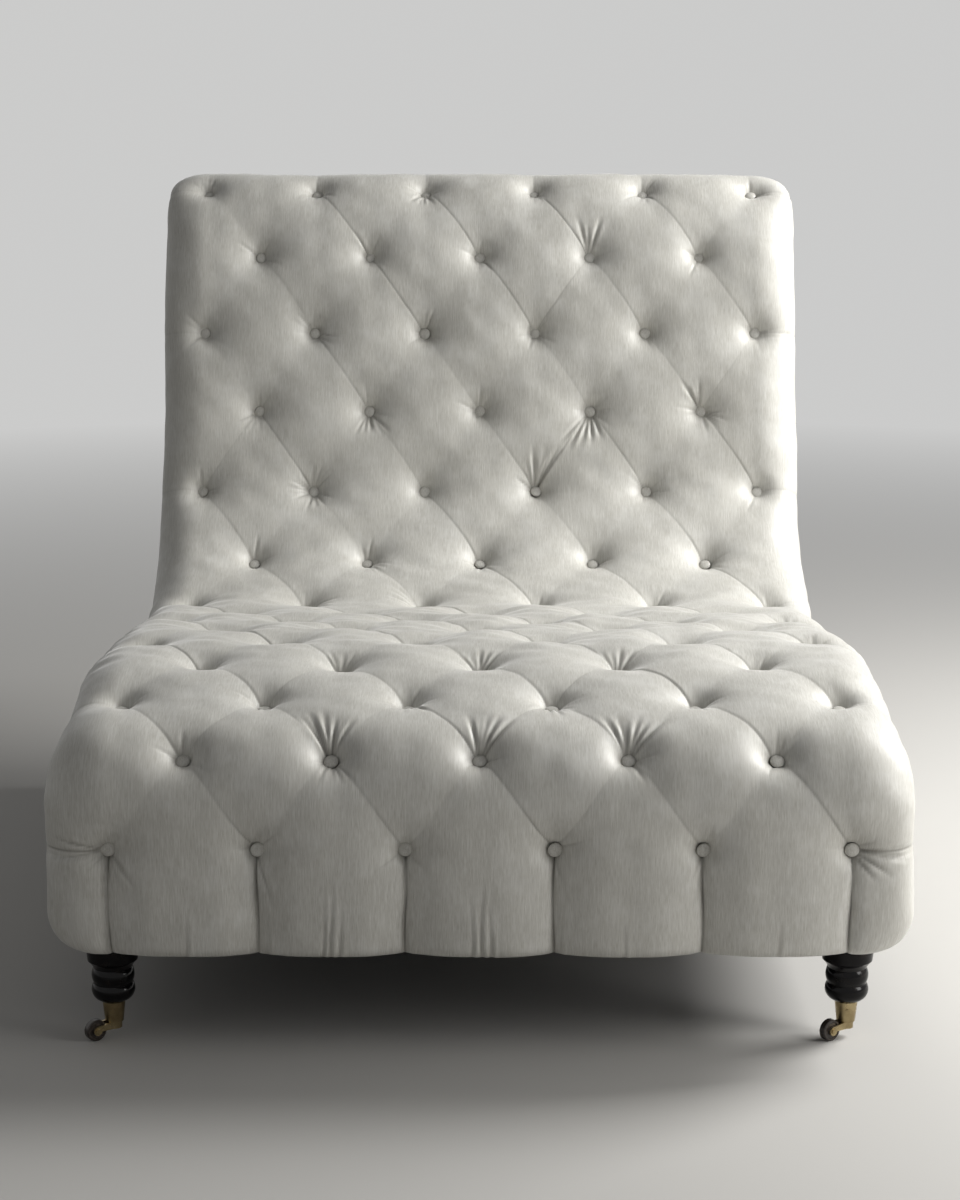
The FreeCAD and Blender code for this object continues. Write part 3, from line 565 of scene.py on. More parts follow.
def upper_points(s, table):
    """Points (rows, columns, 3), texture places and painted crease shade of the velvet's upper side."""
    kind, side, share = table.T
    s = s[:, None]
    wide = width_at(s) + cover_out
    deep = padding_at(s) - chord_ease
    drop = np.minimum(edge_drop, deep - least_low_side)
    angle = share * math.pi / 2
    reach = wide - edge_x
    flank_x = edge_x + reach * np.sin(angle)
    flank_up = cover_out - (drop + cover_out) * (1 - np.cos(angle))
    low_x = wide - side_draw_in * share
    low_up = -drop - (deep - drop) * share
    x = np.where(kind == 0, edge_x * share, side * np.where(kind == 1, flank_x, low_x))
    up = np.where(kind == 0, cover_out, np.where(kind == 1, flank_up, low_up))
    tilt_x = np.where(kind == 0, 0.0, np.where(kind == 1, np.sin(angle) / reach, 1.0)) * side
    tilt_up = np.where(kind == 0, 1.0, np.where(kind == 1, np.cos(angle) / (drop + cover_out), 0.0))
    size = np.hypot(tilt_x, tilt_up)
    tilt_x, tilt_up = tilt_x / size, tilt_up / size
    flank_length = flank_arc * (reach + drop)
    over = np.where(kind == 1, flank_length * share, flank_length + (deep - drop) * share)
    u = np.where(kind == 0, edge_x * share, side * (edge_x + over))
    stations = np.broadcast_to(s, u.shape)
    depth, crease_shade, shift_u, shift_s = relief(u, stations)
    held = np.where(kind == 2, 1 - smooth(share * low_side_release), 1.0)
    depth, shift_u, shift_s = depth * held, shift_u * held, shift_s * held
    y, z, heading = at(np.clip(stations + shift_s, 0, path_end))
    x = x + shift_u * tilt_up - depth * tilt_x
    up = up - shift_u * tilt_x - depth * tilt_up
    points = np.stack([x, y - up * np.sin(heading), z + up * np.cos(heading)], axis=-1)
    return points, np.stack([u, stations], axis=-1), crease_shade


def make_stations():
    """Stations of the grid's rows, closer together at the bottom edge."""
    bottom = np.linspace(0, bottom_length, bottom_stations)
    lower = np.arange(lower_start, lowest_row, lower_step)
    rest = np.arange(lowest_row, path_end - 1 * mm, station_step)
    return np.concatenate([bottom, lower, rest, [path_end]])


def placed(name, data):
    """A new object with its data, in the scene."""
    obj = bpy.data.objects.new(name, data)
    bpy.context.scene.collection.objects.link(obj)
    return obj


def vertex_field(mesh, key):
    """A vector of each vertex of a mesh, as an array with one row per vertex."""
    field = np.empty(len(mesh.vertices) * 3)
    mesh.vertices.foreach_get(key, field)
    return field.reshape(-1, 3)


def new_mesh(name, points, quads, uv=None, values=None, triangles=()):
    """A smooth object from points, faces of four and of three, texture places and point values."""
    mesh = bpy.data.meshes.new(name)
    quads = np.asarray(quads, np.int32)
    triangles = np.asarray(triangles, np.int32)
    corners = np.concatenate([quads.ravel(), triangles.ravel()])
    starts = np.concatenate([np.arange(0, quads.size, 4), quads.size + np.arange(0, triangles.size, 3)])
    mesh.vertices.add(len(points))
    mesh.vertices.foreach_set("co", np.asarray(points, np.float32).ravel())
    mesh.loops.add(len(corners))
    mesh.loops.foreach_set("vertex_index", corners)
    mesh.polygons.add(len(starts))
    mesh.polygons.foreach_set("loop_start", starts.astype(np.int32))
    mesh.update(calc_edges=True)
    mesh.polygons.foreach_set("use_smooth", np.ones(len(starts), bool))
    if uv is not None:
        layer = mesh.uv_layers.new(name="cloth")
        layer.data.foreach_set("uv", np.asarray(uv, np.float32)[corners].ravel())
    for key, value in (values or {}).items():
        attribute = mesh.attributes.new(key, "FLOAT", "POINT")
        attribute.data.foreach_set("value", np.asarray(value, np.float32).ravel())
    mesh.validate()
    return placed(name, mesh)


def grid_faces(rows, columns, ring=False):
    """Faces between rows of points; in a ring the last column joins the first."""
    i, j = np.meshgrid(np.arange(rows - 1), np.arange(columns if ring else columns - 1), indexing="ij")
    low, high, following = i * columns, (i + 1) * columns, (j + 1) % columns
    return np.stack([low + j, low + following, high + following, high + j], axis=-1).reshape(-1, 4)


def cap_faces(start, upper, columns, flip):
    """Faces across one end: each point of the velvet is joined towards the underside."""
    under = columns - upper
    faces = []
    for k in range(upper - 1):
        low = start + upper + int(round((1 - k / (upper - 1)) * (under - 1)))
        nxt = start + upper + int(round((1 - (k + 1) / (upper - 1)) * (under - 1)))
        faces.append((start + k, start + k + 1, nxt, low))
    return [tuple(reversed(face)) for face in faces] if flip else faces


def make_cover():
    """One closed form: velvet over the padding, down the flanks and turned under, with a deck side."""
    s = make_stations()
    upper, uv, crease_shade = upper_points(s, section_table())
    upper = upper + simulate(upper, uv)
    share = np.linspace(1, -1, under_steps + 2)[1:-1]
    low_x = (width_at(s) + cover_out - side_draw_in)[:, None] * share
    deep = (padding_at(s) - chord_ease)[:, None]
    y, z, heading = (value[:, None] for value in at(s))
    low_y = np.broadcast_to(y + deep * np.sin(heading), low_x.shape)
    low_z = np.broadcast_to(z - deep * np.cos(heading), low_x.shape)
    low_s = np.broadcast_to(s[:, None], low_x.shape)
    points = np.concatenate([upper, np.stack([low_x, low_y, low_z], axis=-1)], axis=1)
    uv = np.concatenate([uv, np.stack([low_x, low_s], axis=-1)], axis=1)
    crease_shade = np.concatenate([crease_shade, np.zeros(low_x.shape)], axis=1)
    rows, columns = points.shape[:2]
    count = upper.shape[1]
    ends = cap_faces(0, count, columns, True) + cap_faces((rows - 1) * columns, count, columns, False)
    square = [face for face in ends if len(set(face)) == 4]
    triangles = [tuple(dict.fromkeys(face)) for face in ends if len(set(face)) == 3]
    quads = np.concatenate([grid_faces(rows, columns, ring=True), square])
    # The crease attribute carries the painted shade along the folds into the velvet's colour.
    values = {"crease_shade": crease_shade}
    return new_mesh("velvet_cover", points.reshape(-1, 3), quads, uv.reshape(-1, 2), values, triangles)


# Materials
def shader(name, **values):
    """A material with its Principled node's uniform values set on their own sockets."""
    mat = bpy.data.materials.new(name)
    mat.use_nodes = True
    bsdf = mat.node_tree.nodes["Principled BSDF"]
    for key, value in values.items():
        bsdf.inputs[key.replace("_", " ")].default_value = value
    return mat, mat.node_tree, bsdf


def add(tree, kind, links=None, **settings):
    """A node with its settings; links maps its inputs to sockets or to plain values."""
    node = tree.nodes.new(kind)
    for key, value in settings.items():
        setattr(node, key, value)
    for key, value in (links or {}).items():
        if isinstance(value, bpy.types.NodeSocket):
            tree.links.new(value, node.inputs[key])
        else:
            node.inputs[key].default_value = value
    return node


def stretched(tree, source, scale):
    return add(tree, "ShaderNodeMapping", {"Vector": source, "Scale": scale}).outputs["Vector"]


def noise(tree, vector, scale=1.0, detail=2.0, rough=0.5):
    links = {"Vector": vector, "Scale": scale, "Detail": detail, "Roughness": rough}
    return add(tree, "ShaderNodeTexNoise", links).outputs["Fac"]


def remap(tree, value, low, high, to_low=0.0, to_high=1.0):
    links = {"Value": value, "From Min": low, "From Max": high, "To Min": to_low, "To Max": to_high}
    return add(tree, "ShaderNodeMapRange", links).outputs["Result"]


def blend_colour(tree, factor, a, b, mode="MIX"):
    node = tree.nodes.new("ShaderNodeMix")
    node.data_type = "RGBA"
    node.blend_type = mode
    for index, value in ((0, factor), (6, a), (7, b)):
        if isinstance(value, bpy.types.NodeSocket):
            tree.links.new(value, node.inputs[index])
        else:
            node.inputs[index].default_value = value
    return node.outputs[2]


def maths(tree, operation, *values):
    """The result of a maths node on sockets or plain values."""
    return add(tree, "ShaderNodeMath", dict(enumerate(values)), operation=operation).outputs[0]


def object_place(tree):
    return add(tree, "ShaderNodeTexCoord").outputs["Object"]


def finish_off(bsdf, tree, colour, rough, height, strength, distance):
    """Links a material's colour, roughness and bump."""
    bump = add(tree, "ShaderNodeBump", {"Height": height, "Strength": strength, "Distance": distance})
    for key, socket in (("Base Color", colour), ("Roughness", rough), ("Normal", bump.outputs["Normal"])):
        tree.links.new(socket, bsdf.inputs[key])


def show_mixed(tree, output, factor, first, second):
    """Mixes two shader nodes by a factor into an output node's surface."""
    mixed = add(tree, "ShaderNodeMixShader", {0: factor, 1: first.outputs[0], 2: second.outputs[0]})
    tree.links.new(mixed.outputs[0], tree.nodes[output].inputs["Surface"])


def rgb(r, g, b):
    return (r, g, b, 1.0)


def velvet(name, coordinates, stretch, crease_shaded=False):
    """Silver-ivory velvet with a fine slub and brushed patches, darkened by painted shade along its folds;
    stretch sets the slub's way.
    """
    mat, tree, bsdf = shader(name, Sheen_Weight=0.35, Sheen_Roughness=0.3, Specular_IOR_Level=0.5)
    place = add(tree, "ShaderNodeTexCoord")
    cloth = stretched(tree, place.outputs[coordinates], stretch)
    fine = noise(tree, cloth, scale=1500.0, detail=3.0)
    slub = noise(tree, cloth, scale=520.0, detail=4.0, rough=0.6)
    brushed = noise(tree, place.outputs["Object"], scale=7.0, detail=3.0)
    rubbed = noise(tree, place.outputs["Object"], scale=17.0, detail=6.0, rough=0.6)
    strands = blend_colour(tree, remap(tree, fine, 0.3, 0.7), rgb(0.44, 0.425, 0.38), rgb(0.60, 0.592, 0.555))
    slubs = blend_colour(tree, remap(tree, slub, 0.46, 0.66, 0.0, 0.55), strands, rgb(0.70, 0.695, 0.66))
    patches = remap(tree, brushed, 0.3, 0.7, 0.0, 0.14)
    colour = blend_colour(tree, patches, slubs, rgb(0.38, 0.365, 0.32))
    colour = blend_colour(tree, remap(tree, rubbed, 0.5, 0.62, 0.0, 0.22), colour, rgb(0.70, 0.695, 0.665))
    if crease_shaded:
        # Painted shade: the crease attribute darkens the colour towards dark brown along the folds, channels,
        # puckers, tucks and gathers.
        crease_shade = add(tree, "ShaderNodeAttribute", attribute_name="crease_shade").outputs["Fac"]
        colour = blend_colour(tree, remap(tree, crease_shade, 0.0, 1.0, 0.0, 0.7), colour, rgb(0.11, 0.10, 0.08))
    finish_off(bsdf, tree, colour, remap(tree, slub, 0.3, 0.7, 0.40, 0.56), fine, 0.15, 0.0006)
    return mat


def lacquer():
    """Gloss black lacquer on turned wood: faint turning rings and a few dull rubs."""
    mat, tree, bsdf = shader("black_lacquer", Coat_Weight=0.05, Coat_Roughness=0.05, Specular_IOR_Level=0.16)
    place = object_place(tree)
    rings = noise(tree, stretched(tree, place, (6, 6, 700)), detail=2.0)
    rub = noise(tree, place, scale=70.0, detail=5.0)
    black, rubbed = rgb(0.004, 0.0035, 0.004), rgb(0.014, 0.011, 0.009)
    colour = blend_colour(tree, remap(tree, rub, 0.55, 0.8), black, rubbed)
    finish_off(bsdf, tree, colour, remap(tree, rub, 0.35, 0.75, 0.10, 0.24), rings, 0.05, 0.0003)
    return mat


def brass():
    """Antiqued brass: brown tarnish in patches over a warm rubbed metal."""
    mat, tree, bsdf = shader("brass", Metallic=1.0)
    place = object_place(tree)
    tarnish = noise(tree, place, scale=38.0, detail=4.0, rough=0.5)
    spots = noise(tree, place, scale=160.0, detail=3.0)
    warm = blend_colour(tree, remap(tree, tarnish, 0.38, 0.66), rgb(0.44, 0.355, 0.20), rgb(0.25, 0.19, 0.10))
    colour = blend_colour(tree, remap(tree, spots, 0.62, 0.85, 0.0, 0.4), warm, rgb(0.12, 0.09, 0.045))
    finish_off(bsdf, tree, colour, remap(tree, tarnish, 0.35, 0.7, 0.24, 0.34), spots, 0.05, 0.0002)
    return mat


def wheel_black():
    mat, tree, bsdf = shader("wheel_black", Specular_IOR_Level=0.5)
    place = object_place(tree)
    scuff = noise(tree, place, scale=260.0, detail=5.0, rough=0.7)
    dark, worn = rgb(0.022, 0.016, 0.013), rgb(0.085, 0.066, 0.052)
    colour = blend_colour(tree, remap(tree, scuff, 0.5, 0.75), dark, worn)
    finish_off(bsdf, tree, colour, remap(tree, scuff, 0.3, 0.7, 0.24, 0.5), scuff, 0.1, 0.0003)
    return mat


def wood():
    """Unfinished hardwood with stretched grain."""
    mat, tree, bsdf = shader("frame_wood", Specular_IOR_Level=0.3)
    place = object_place(tree)
    grain = noise(tree, stretched(tree, place, (9, 120, 120)), detail=8.0, rough=0.65)
    pores = noise(tree, stretched(tree, place, (60, 900, 900)), detail=3.0)
    colour = blend_colour(tree, remap(tree, grain, 0.3, 0.7), rgb(0.52, 0.36, 0.21), rgb(0.30, 0.185, 0.095))
    colour = blend_colour(tree, remap(tree, pores, 0.6, 0.75, 0.0, 0.6), colour, rgb(0.14, 0.08, 0.04))
    finish_off(bsdf, tree, colour, remap(tree, grain, 0.3, 0.7, 0.5, 0.75), pores, 0.2, 0.0005)
    return mat


def woven(name, pitch, light, dark):
    """Plain weave of a given pitch in metres, from two crossed waves, with uneven yarn."""
    mat, tree, bsdf = shader(name, Specular_IOR_Level=0.15)
    place = object_place(tree)
    waves = []
    for way in ((1, 0, 0), (0, 1, 0)):
        dot = add(tree, "ShaderNodeVectorMath", operation="DOT_PRODUCT")
        tree.links.new(place, dot.inputs[0])
        dot.inputs[1].default_value = way
        waves.append(maths(tree, "SINE", maths(tree, "MULTIPLY", dot.outputs["Value"], math.pi / pitch)))
    cross = maths(tree, "MULTIPLY", *waves)
    fuzz = noise(tree, place, scale=0.6 / pitch, detail=4.0)
    mixed = maths(tree, "MULTIPLY", remap(tree, cross, -1.0, 1.0), fuzz)
    colour = blend_colour(tree, remap(tree, mixed, 0.05, 0.55), dark, light)
    finish_off(bsdf, tree, colour, remap(tree, fuzz, 0.3, 0.7, 0.75, 0.95), cross, 0.4, 0.25 * pitch)
    return mat


def speckled(name, light, dark, scale, metallic, low_rough, high_rough):
    """A plain stock finish with fine mottling, for twine, nylon, batting and plated steel."""
    mat, tree, bsdf = shader(name, Metallic=metallic)
    place = object_place(tree)
    mottle = noise(tree, place, scale=scale, detail=5.0)
    colour = blend_colour(tree, remap(tree, mottle, 0.3, 0.7), light, dark)
    finish_off(bsdf, tree, colour, remap(tree, mottle, 0.3, 0.7, low_rough, high_rough), mottle, 0.12, 0.0004)
    return mat


# Cloth simulation of the velvet over its padding, on a coarse copy, added to the fine one
coarse_row_step = 3
coarse_column_step = 4
sim_frames = 20
sim_cloth = {
    "quality": 4,
    "mass": 0.35,
    "tension_stiffness": 12.0,
    "compression_stiffness": 12.0,
    "shear_stiffness": 4.0,
    "bending_stiffness": 0.25,
    "vertex_group_mass": "held",
    "shrink_min": -0.012,
    "use_pressure": True,
    "uniform_pressure_force": 2.5,
}
sim_held_radius = 15 * mm
sim_held_ends = 12 * mm
sim_held_columns = 3
sim_cap = 6 * mm
sim_calm = 0.3
sim_seat_row = 8
sim_seat_rows = 2.6
sim_softening = 3


def softened(field):
    """A field of points with each one moved towards its neighbours' mean, along rows and along columns."""
    for _ in range(sim_softening):
        field[1:-1] = (field[:-2] + 2 * field[1:-1] + field[2:]) / 4
        field[:, 1:-1] = (field[:, :-2] + 2 * field[:, 1:-1] + field[:, 2:]) / 4
    return field


def every(count, step):
    """Whole numbers from 0 below count in steps, with the last one always in."""
    return np.unique(np.append(np.arange(0, count, step), count - 1))


def filled_in(values, places, count):
    """Values known at some places of the first axis, interpolated to all its places below count."""
    flat = values.reshape(len(places), -1)
    full = [np.interp(np.arange(count), places, flat[:, k]) for k in range(flat.shape[1])]
    return np.stack(full, axis=-1).reshape((count,) + values.shape[1:])


def simulate(points, uv):
    """How far a cloth simulation moves each point of the cover: the buttons and all edges are held."""
    row_total, column_total = points.shape[:2]
    rows = every(row_total, coarse_row_step)
    columns = every(column_total, coarse_column_step)
    start = points[np.ix_(rows, columns)]
    u, s = np.moveaxis(uv[np.ix_(rows, columns)], -1, 0)
    cloth = new_mesh("cloth_trial", start.reshape(-1, 3), grid_faces(len(rows), len(columns)))
    held = nearest_button(u, s)[0] < sim_held_radius
    held |= (s < sim_held_ends) | (s > path_end - sim_held_ends)
    held[:, :sim_held_columns] = held[:, -sim_held_columns:] = True
    group = cloth.vertex_groups.new(name="held")
    group.add([int(k) for k in np.flatnonzero(held.ravel())], 1.0, "REPLACE")
    settings = cloth.modifiers.new("cloth", "CLOTH").settings
    for key, value in sim_cloth.items():
        setattr(settings, key, value)
    settings.effector_weights.gravity = 0.0
    for step in range(1, sim_frames + 1):
        bpy.context.scene.frame_set(step)
    graph = bpy.context.evaluated_depsgraph_get()
    moved = vertex_field(cloth.evaluated_get(graph).data, "co").reshape(start.shape) - start
    bpy.data.objects.remove(cloth)
    bpy.context.scene.frame_set(1)
    far = np.linalg.norm(moved, axis=-1, keepdims=True)
    print("cloth moved the velvet by up to", float(far.max()) / mm, "mm")
    moved *= sim_cap * np.tanh(far / sim_cap) / np.maximum(far, 1e-9)
    rumpled = bell(s - row_station(sim_seat_row), sim_seat_rows * row_pitch)[:, :, None]
    moved = softened(moved * (sim_calm + (1 - sim_calm) * rumpled))
    moved = filled_in(moved, rows, row_total)
    return filled_in(moved.swapaxes(0, 1), columns, column_total).swapaxes(0, 1)


cover_velvet = velvet("velvet_cover", "UV", (1.0, 0.05, 1.0), crease_shaded=True)
side_velvet = velvet("velvet_side", "Object", (0.05, 1.0, 0.05))
back_velvet = velvet("velvet_back", "Object", (1.0, 0.05, 0.05))
button_velvet = velvet("velvet_button", "Object", (1.0, 0.3, 0.3))
finishes = {"black_lacquer": lacquer(), "brass": brass(), "wheel_black": wheel_black(), "frame_wood": wood()}
for values in (
    ("deck_cloth", 1.6 * mm, rgb(0.50, 0.38, 0.22), rgb(0.20, 0.14, 0.08)),
    ("webbing", 2.2 * mm, rgb(0.55, 0.46, 0.30), rgb(0.24, 0.19, 0.11)),
    ("dust_cloth", 1.1 * mm, rgb(0.035, 0.035, 0.038), rgb(0.012, 0.012, 0.013)),
):
    finishes[values[0]] = woven(*values)
for values in (
    ("twine", rgb(0.72, 0.69, 0.62), rgb(0.5, 0.46, 0.38), 900.0, 0.0, 0.5, 0.7),
    ("toggle_plastic", rgb(0.72, 0.70, 0.64), rgb(0.6, 0.57, 0.5), 300.0, 0.0, 0.35, 0.5),
    ("steel", rgb(0.62, 0.62, 0.63), rgb(0.42, 0.42, 0.43), 500.0, 1.0, 0.25, 0.45),
    ("batting", rgb(0.8, 0.8, 0.78), rgb(0.68, 0.68, 0.66), 200.0, 0.0, 0.8, 0.95),
    ("foam", rgb(0.75, 0.70, 0.55), rgb(0.62, 0.56, 0.42), 600.0, 0.0, 0.8, 0.95),
):
    finishes[values[0]] = speckled(*values)

# The CAD nodes keep their shapes and take these finishes
for part in frame["record"]["subparts"]:
    finish = finishes.get(part["material_slot"])
    if finish:
        mesh = nodes[part["node"]].data
        mesh.materials.clear()
        mesh.materials.append(finish)

# The tufted cover
cover = make_cover()
cover.data.materials.append(cover_velvet)
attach(cover, "chaise_frame")
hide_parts("tufted_cover", "foot_pad", "seat_pad", "lap_pad", "back_pad", "roll_pad")

# Covered buttons: (radius, height) in mm, from the foot up over the rim to the middle
button_base = 33.5 * mm
button_profile = [
    (2.0, 0.3), (6.0, 4.2), (9.1, 7.3), (10.0, 8.3), (10.2, 9.2), (9.7, 10.1),
    (8.5, 11.0), (6.6, 11.8), (4.4, 12.3), (2.2, 12.6), (0.4, 12.7),
]
button_sides = 40
button_pleats = 13
button_pleat_depth = 0.22 * mm
button_pleat_start = 7 * mm
button_pleat_onset = 3 * mm
button_lean = 16.0


def make_buttons(name, node, rows):
    """The covered buttons of some rows, each tipped a little and with its velvet gathered at the rim."""
    points, faces = [], []
    turn = np.arange(button_sides) * 2 * math.pi / button_sides
    one = grid_faces(len(button_profile), button_sides, ring=True)
    radius, height = np.array(button_profile).T[:, :, None] * mm
    pleated = button_pleat_depth * smooth((radius - button_pleat_start) / button_pleat_onset)
    for row in rows:
        limit = edge_column if row % 2 == 0 else edge_column - 1
        for column in range(-limit, limit + 1, 2):
            phase = 6.3 * float(hashed(row, column, 41.0))
            out = radius + pleated * np.sin(button_pleats * turn + phase)
            rings = [out * np.cos(turn), out * np.sin(turn), height + 0 * turn]
            local = np.stack(rings, axis=-1).reshape(-1, 3)
            lean = [math.radians(button_lean * (float(hashed(row, column, k)) - 0.5)) for k in (42.0, 43.0)]
            y, z, heading = (float(v) for v in at(np.array(row_station(row))))
            tip = Matrix.Rotation(lean[0], 3, "X") @ Matrix.Rotation(lean[1], 3, "Y")
            turned = np.array(Matrix.Rotation(heading, 3, "X") @ tip)
            base_y, base_z = y + button_base * math.sin(heading), z - button_base * math.cos(heading)
            faces.append(one + len(points) * len(local))
            points.append(local @ turned.T + np.array([column * half_pitch, base_y, base_z]))
    obj = new_mesh(name, np.concatenate(points), np.concatenate(faces))
    obj.data.materials.append(button_velvet)
    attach(obj, "chaise_frame")
    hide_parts(node)


make_buttons("foot_buttons_velvet", "foot_buttons", range(12, row_count))
make_buttons("seat_buttons_velvet", "seat_buttons", range(6, 12))
make_buttons("back_buttons_velvet", "back_buttons", range(0, 6))


# Side and outside-back panels: velvet over batting, drawn tight at their edges
panel_voxel = 6 * mm
panel_softening = 3
panel_crown = 3.5 * mm
panel_crown_rise = 30 * mm
panel_waves = [(0.8 * mm, 0.22, 11), (0.3 * mm, 0.06, 12)]
panel_wave_rise = 20 * mm
panel_seam_depth = 2.2 * mm
panel_seam_width = 7 * mm
outline_spacing = 3 * mm


def boundary_tree(mesh, axis, side):
    """A search tree of points along the outline of a panel's outer face."""
    values = [v.co[axis] * side for v in mesh.vertices]
    outer = max(values) - 0.5 * mm if axis == 0 else None
    spots = []
    counts = {}
    for face in mesh.polygons:
        facing = face.normal[axis] * side > 0.9
        if facing and (outer is None or all(values[v] > outer for v in face.vertices)):
            for edge in face.edge_keys:
                counts[edge] = counts.get(edge, 0) + 1
    for (a, b), count in counts.items():
        if count == 1:
            start, end = mesh.vertices[a].co, mesh.vertices[b].co
            steps = max(1, int((end - start).length / outline_spacing))
            spots += [start.lerp(end, k / steps) for k in range(steps)]
    tree = KDTree(len(spots))
    for k, spot in enumerate(spots):
        tree.insert(spot, k)
    tree.balance()
    return tree


def apply_modifiers(obj):
    """Puts the result of an object's modifiers into its mesh."""
    graph = bpy.context.evaluated_depsgraph_get()
    result = bpy.data.meshes.new_from_object(obj.evaluated_get(graph))
    obj.modifiers.clear()
    obj.data = result


def make_panel(name, panel, batting, axis, side, material):
    """One panel: the two CAD slabs as one soft form, crowned outward and tucked in along its outline."""
    tree = boundary_tree(nodes[panel].data, axis, side)
    joined = bmesh.new()
    for node in (panel, batting):
        joined.from_mesh(nodes[node].data)
    mesh = bpy.data.meshes.new(name)
    joined.to_mesh(mesh)
    joined.free()
    obj = placed(name, mesh)
    remesh = obj.modifiers.new("remesh", "REMESH")
    remesh.mode = "VOXEL"
    remesh.voxel_size = panel_voxel
    soften = obj.modifiers.new("soften", "SMOOTH")
    soften.iterations = panel_softening
    apply_modifiers(obj)
    mesh = obj.data
    co = vertex_field(mesh, "co")
    facing = smooth(vertex_field(mesh, "normal")[:, axis] * side * 1.4 - 0.3)
    edge = np.array([tree.find(point)[2] for point in co])
    first, second = co[:, 1 - axis], co[:, 2]
    ripple = sum(size * noise_field(first, second, spacing, seed) for size, spacing, seed in panel_waves)
    push = panel_crown * (1 - np.exp(-edge / panel_crown_rise))
    push += ripple * (1 - np.exp(-edge / panel_wave_rise))
    push -= panel_seam_depth * bell(edge, panel_seam_width)
    co[:, axis] += side * push * facing
    mesh.vertices.foreach_set("co", co.astype(np.float32).ravel())
    mesh.update()
    for face in mesh.polygons:
        face.use_smooth = True
    mesh.materials.clear()
    mesh.materials.append(material)
    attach(obj, "chaise_frame")
    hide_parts(panel, batting)


make_panel("side_velvet_left", "side_panel_left", "side_batting_left", 0, -1, side_velvet)
make_panel("side_velvet_right", "side_panel_right", "side_batting_right", 0, 1, side_velvet)
make_panel("back_velvet", "outside_back_panel", "outside_back_batting", 1, 1, back_velvet)


# Dust cloth under the frame, stapled at its edges and slack between
dust_cell = 12 * mm
dust_snap = 0.6 * dust_cell
dust_sag = 7 * mm
dust_bays = 3
dust_ripple = 0.5 * mm
dust_hole_rise = 60 * mm
leg_hole = 40 * mm


def make_dust_cloth():
    """The cloth as a grid with a round hole for each leg, onto whose rim the nearest points are moved."""
    low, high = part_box("dust_cover")
    columns = int((high.x - low.x) / dust_cell)
    rows = int((high.y - low.y) / dust_cell)
    x, y = np.meshgrid(np.linspace(low.x, high.x, columns + 1), np.linspace(low.y, high.y, rows + 1))
    points_x, points_y = x.copy(), y.copy()
    gone = np.zeros(x.shape, bool)
    hole = np.full(x.shape, 1e3)
    for name in ("front_left", "front_right", "rear_left", "rear_right"):
        leg_low, leg_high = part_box("leg_" + name)
        leg_x, leg_y = (leg_low.x + leg_high.x) / 2, (leg_low.y + leg_high.y) / 2
        radius = np.hypot(points_x - leg_x, points_y - leg_y)
        near = np.abs(radius - leg_hole) < dust_snap
        scale = np.where(near, leg_hole / np.maximum(radius, 1e-6), 1.0)
        points_x = leg_x + (points_x - leg_x) * scale
        points_y = leg_y + (points_y - leg_y) * scale
        gone |= (radius < leg_hole) & ~near
        hole = np.minimum(hole, np.maximum(radius - leg_hole, 0))
    across = np.sin(math.pi * (x - low.x) / (high.x - low.x))
    along = np.abs(np.sin(dust_bays * math.pi * (y - low.y) / (high.y - low.y)))
    sag = dust_sag * across ** 0.5 * along ** 0.7 * (1 - np.exp(-hole / dust_hole_rise))
    sag += dust_ripple * np.abs(noise_field(x, y, 0.12, 21)) * across
    z = (low.z + high.z) / 2 - sag
    index = np.arange(x.size).reshape(x.shape)
    faces = np.stack([index[:-1, :-1], index[1:, :-1], index[1:, 1:], index[:-1, 1:]], axis=-1).reshape(-1, 4)
    faces = faces[~gone.ravel()[faces].any(axis=1)]
    kept = np.unique(faces)
    renumber = np.full(x.size, -1)
    renumber[kept] = np.arange(len(kept))
    points = np.stack([points_x, points_y, z], axis=-1).reshape(-1, 3)[kept]
    obj = new_mesh("dust_cloth", points, renumber[faces])
    obj.data.materials.append(finishes["dust_cloth"])
    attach(obj, "chaise_frame")
    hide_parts("dust_cover")


make_dust_cloth()

# Floor: pale, and fading into the backdrop's colour far from the chaise
floor_size = 40.0
floor_fade_from, floor_fade_to = 1.6, 6.0
backdrop = rgb(0.60, 0.60, 0.595)


def seen_directly(tree):
    """1 for rays that show the backdrop: seen by the camera, in gloss or through glass."""
    rays = add(tree, "ShaderNodeLightPath")
    either = maths(tree, "MAXIMUM", rays.outputs["Is Camera Ray"], rays.outputs["Is Glossy Ray"])
    return maths(tree, "MAXIMUM", either, rays.outputs["Is Transmission Ray"])


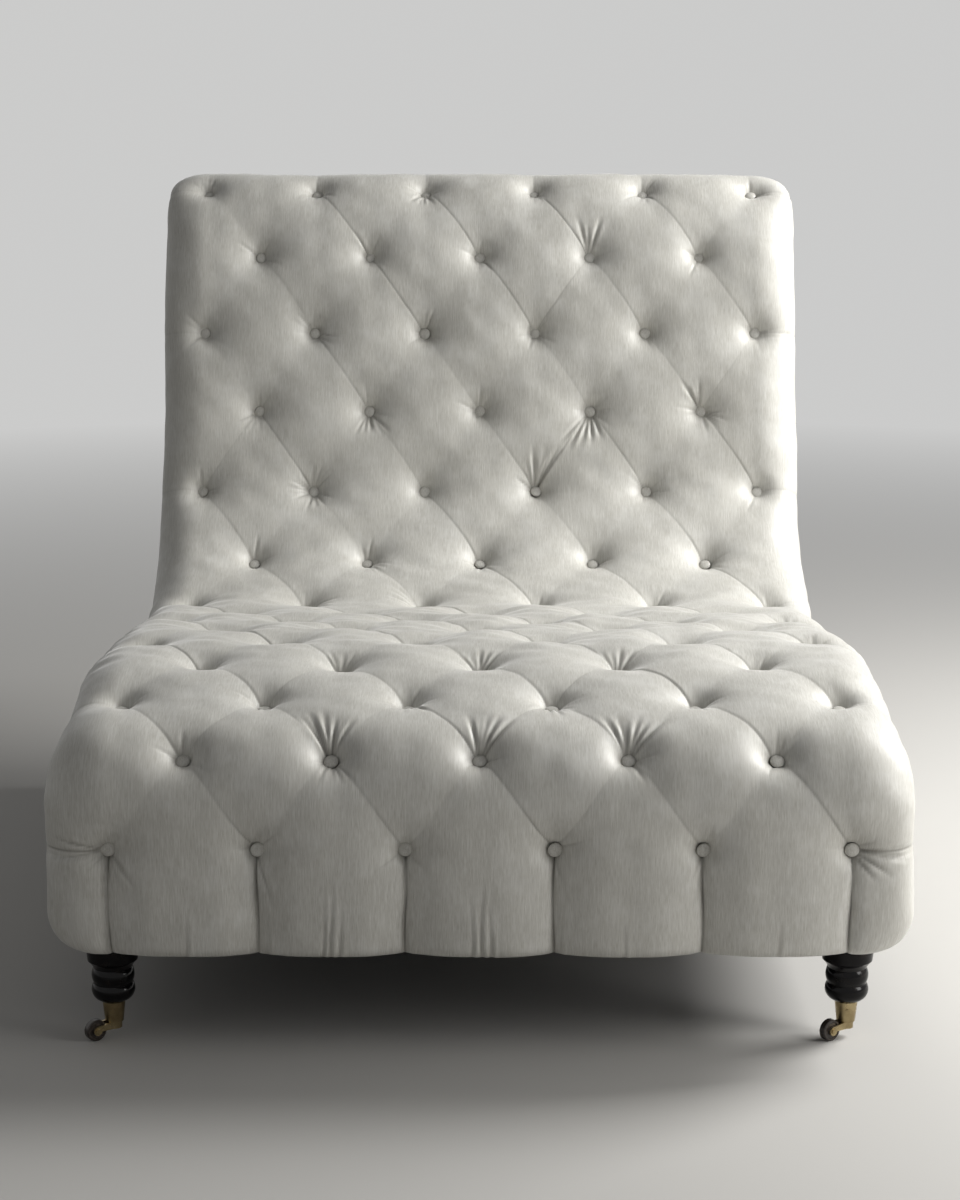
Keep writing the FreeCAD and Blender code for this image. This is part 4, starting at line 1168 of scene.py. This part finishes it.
def make_floor():
    mesh = bpy.data.meshes.new("floor")
    h = floor_size / 2
    mesh.from_pydata([(-h, -h, 0), (h, -h, 0), (h, h, 0), (-h, h, 0)], [], [(0, 1, 2, 3)])
    floor = placed("floor", mesh)
    mat, tree, bsdf = shader("floor", Roughness=0.8, Specular_IOR_Level=0.2)
    bsdf.inputs["Base Color"].default_value = rgb(0.52, 0.51, 0.49)
    place = object_place(tree)
    reach = add(tree, "ShaderNodeVectorMath", {0: place}, operation="LENGTH").outputs["Value"]
    far = maths(tree, "MULTIPLY", remap(tree, reach, floor_fade_from, floor_fade_to), seen_directly(tree))
    glow = add(tree, "ShaderNodeEmission", {"Color": backdrop})
    show_mixed(tree, "Material Output", far, bsdf, glow)
    mesh.materials.append(mat)


make_floor()


# Light: a large soft window on the right, a lower one ahead of it, a weak fill and an even sky
def area_light(name, place, aim, size, power, colour):
    """A rectangular lamp at a place, turned towards its aim; power in watts."""
    data = bpy.data.lights.new(name, "AREA")
    data.shape = "RECTANGLE"
    data.size, data.size_y = size
    data.energy = power
    data.color = colour
    lamp = placed(name, data)
    lamp.location = place
    lamp.rotation_euler = (Vector(aim) - Vector(place)).to_track_quat("-Z", "Y").to_euler()


area_light("window", (2.6, 0.42, 2.2), (0.0, 0.0, 0.55), (1.3, 1.6), 146.0, (1.0, 0.995, 0.98))
area_light("low_window", (2.0, -1.35, 0.9), (0.3, -0.8, 0.3), (0.7, 0.9), 19.0, (1.0, 0.99, 0.97))
area_light("fill", (-3.0, -3.2, 2.6), (0.0, 0.0, 0.5), (2.6, 2.6), 2.0, (0.98, 0.98, 1.0))

sky_strength = 0.17


def make_sky():
    world = bpy.data.worlds.new("studio")
    bpy.context.scene.world = world
    world.use_nodes = True
    tree = world.node_tree
    light = tree.nodes["Background"]
    light.inputs["Color"].default_value = rgb(1.0, 1.0, 1.0)
    light.inputs["Strength"].default_value = sky_strength
    shown = add(tree, "ShaderNodeBackground", {"Color": backdrop, "Strength": 1.0})
    show_mixed(tree, "World Output", seen_directly(tree), light, shown)


make_sky()

scene = bpy.context.scene
scene.view_settings.view_transform = "Standard"

# Camera, from the photograph: 3.31 m ahead of the foot, 1.34 m high, tipped down 11.6 degrees
camera_tilt = 11.6
camera_data = bpy.data.cameras.new("camera")
camera_data.sensor_fit = "VERTICAL"
camera_data.sensor_height = 36.0
camera_data.lens = 76.27
camera = bpy.data.objects.new("camera", camera_data)
camera.location = (0.0, -4.1254, 1.3362)
camera.rotation_euler = (math.radians(90.0 - camera_tilt), 0.0, 0.0)
scene.collection.objects.link(camera)
scene.camera = camera
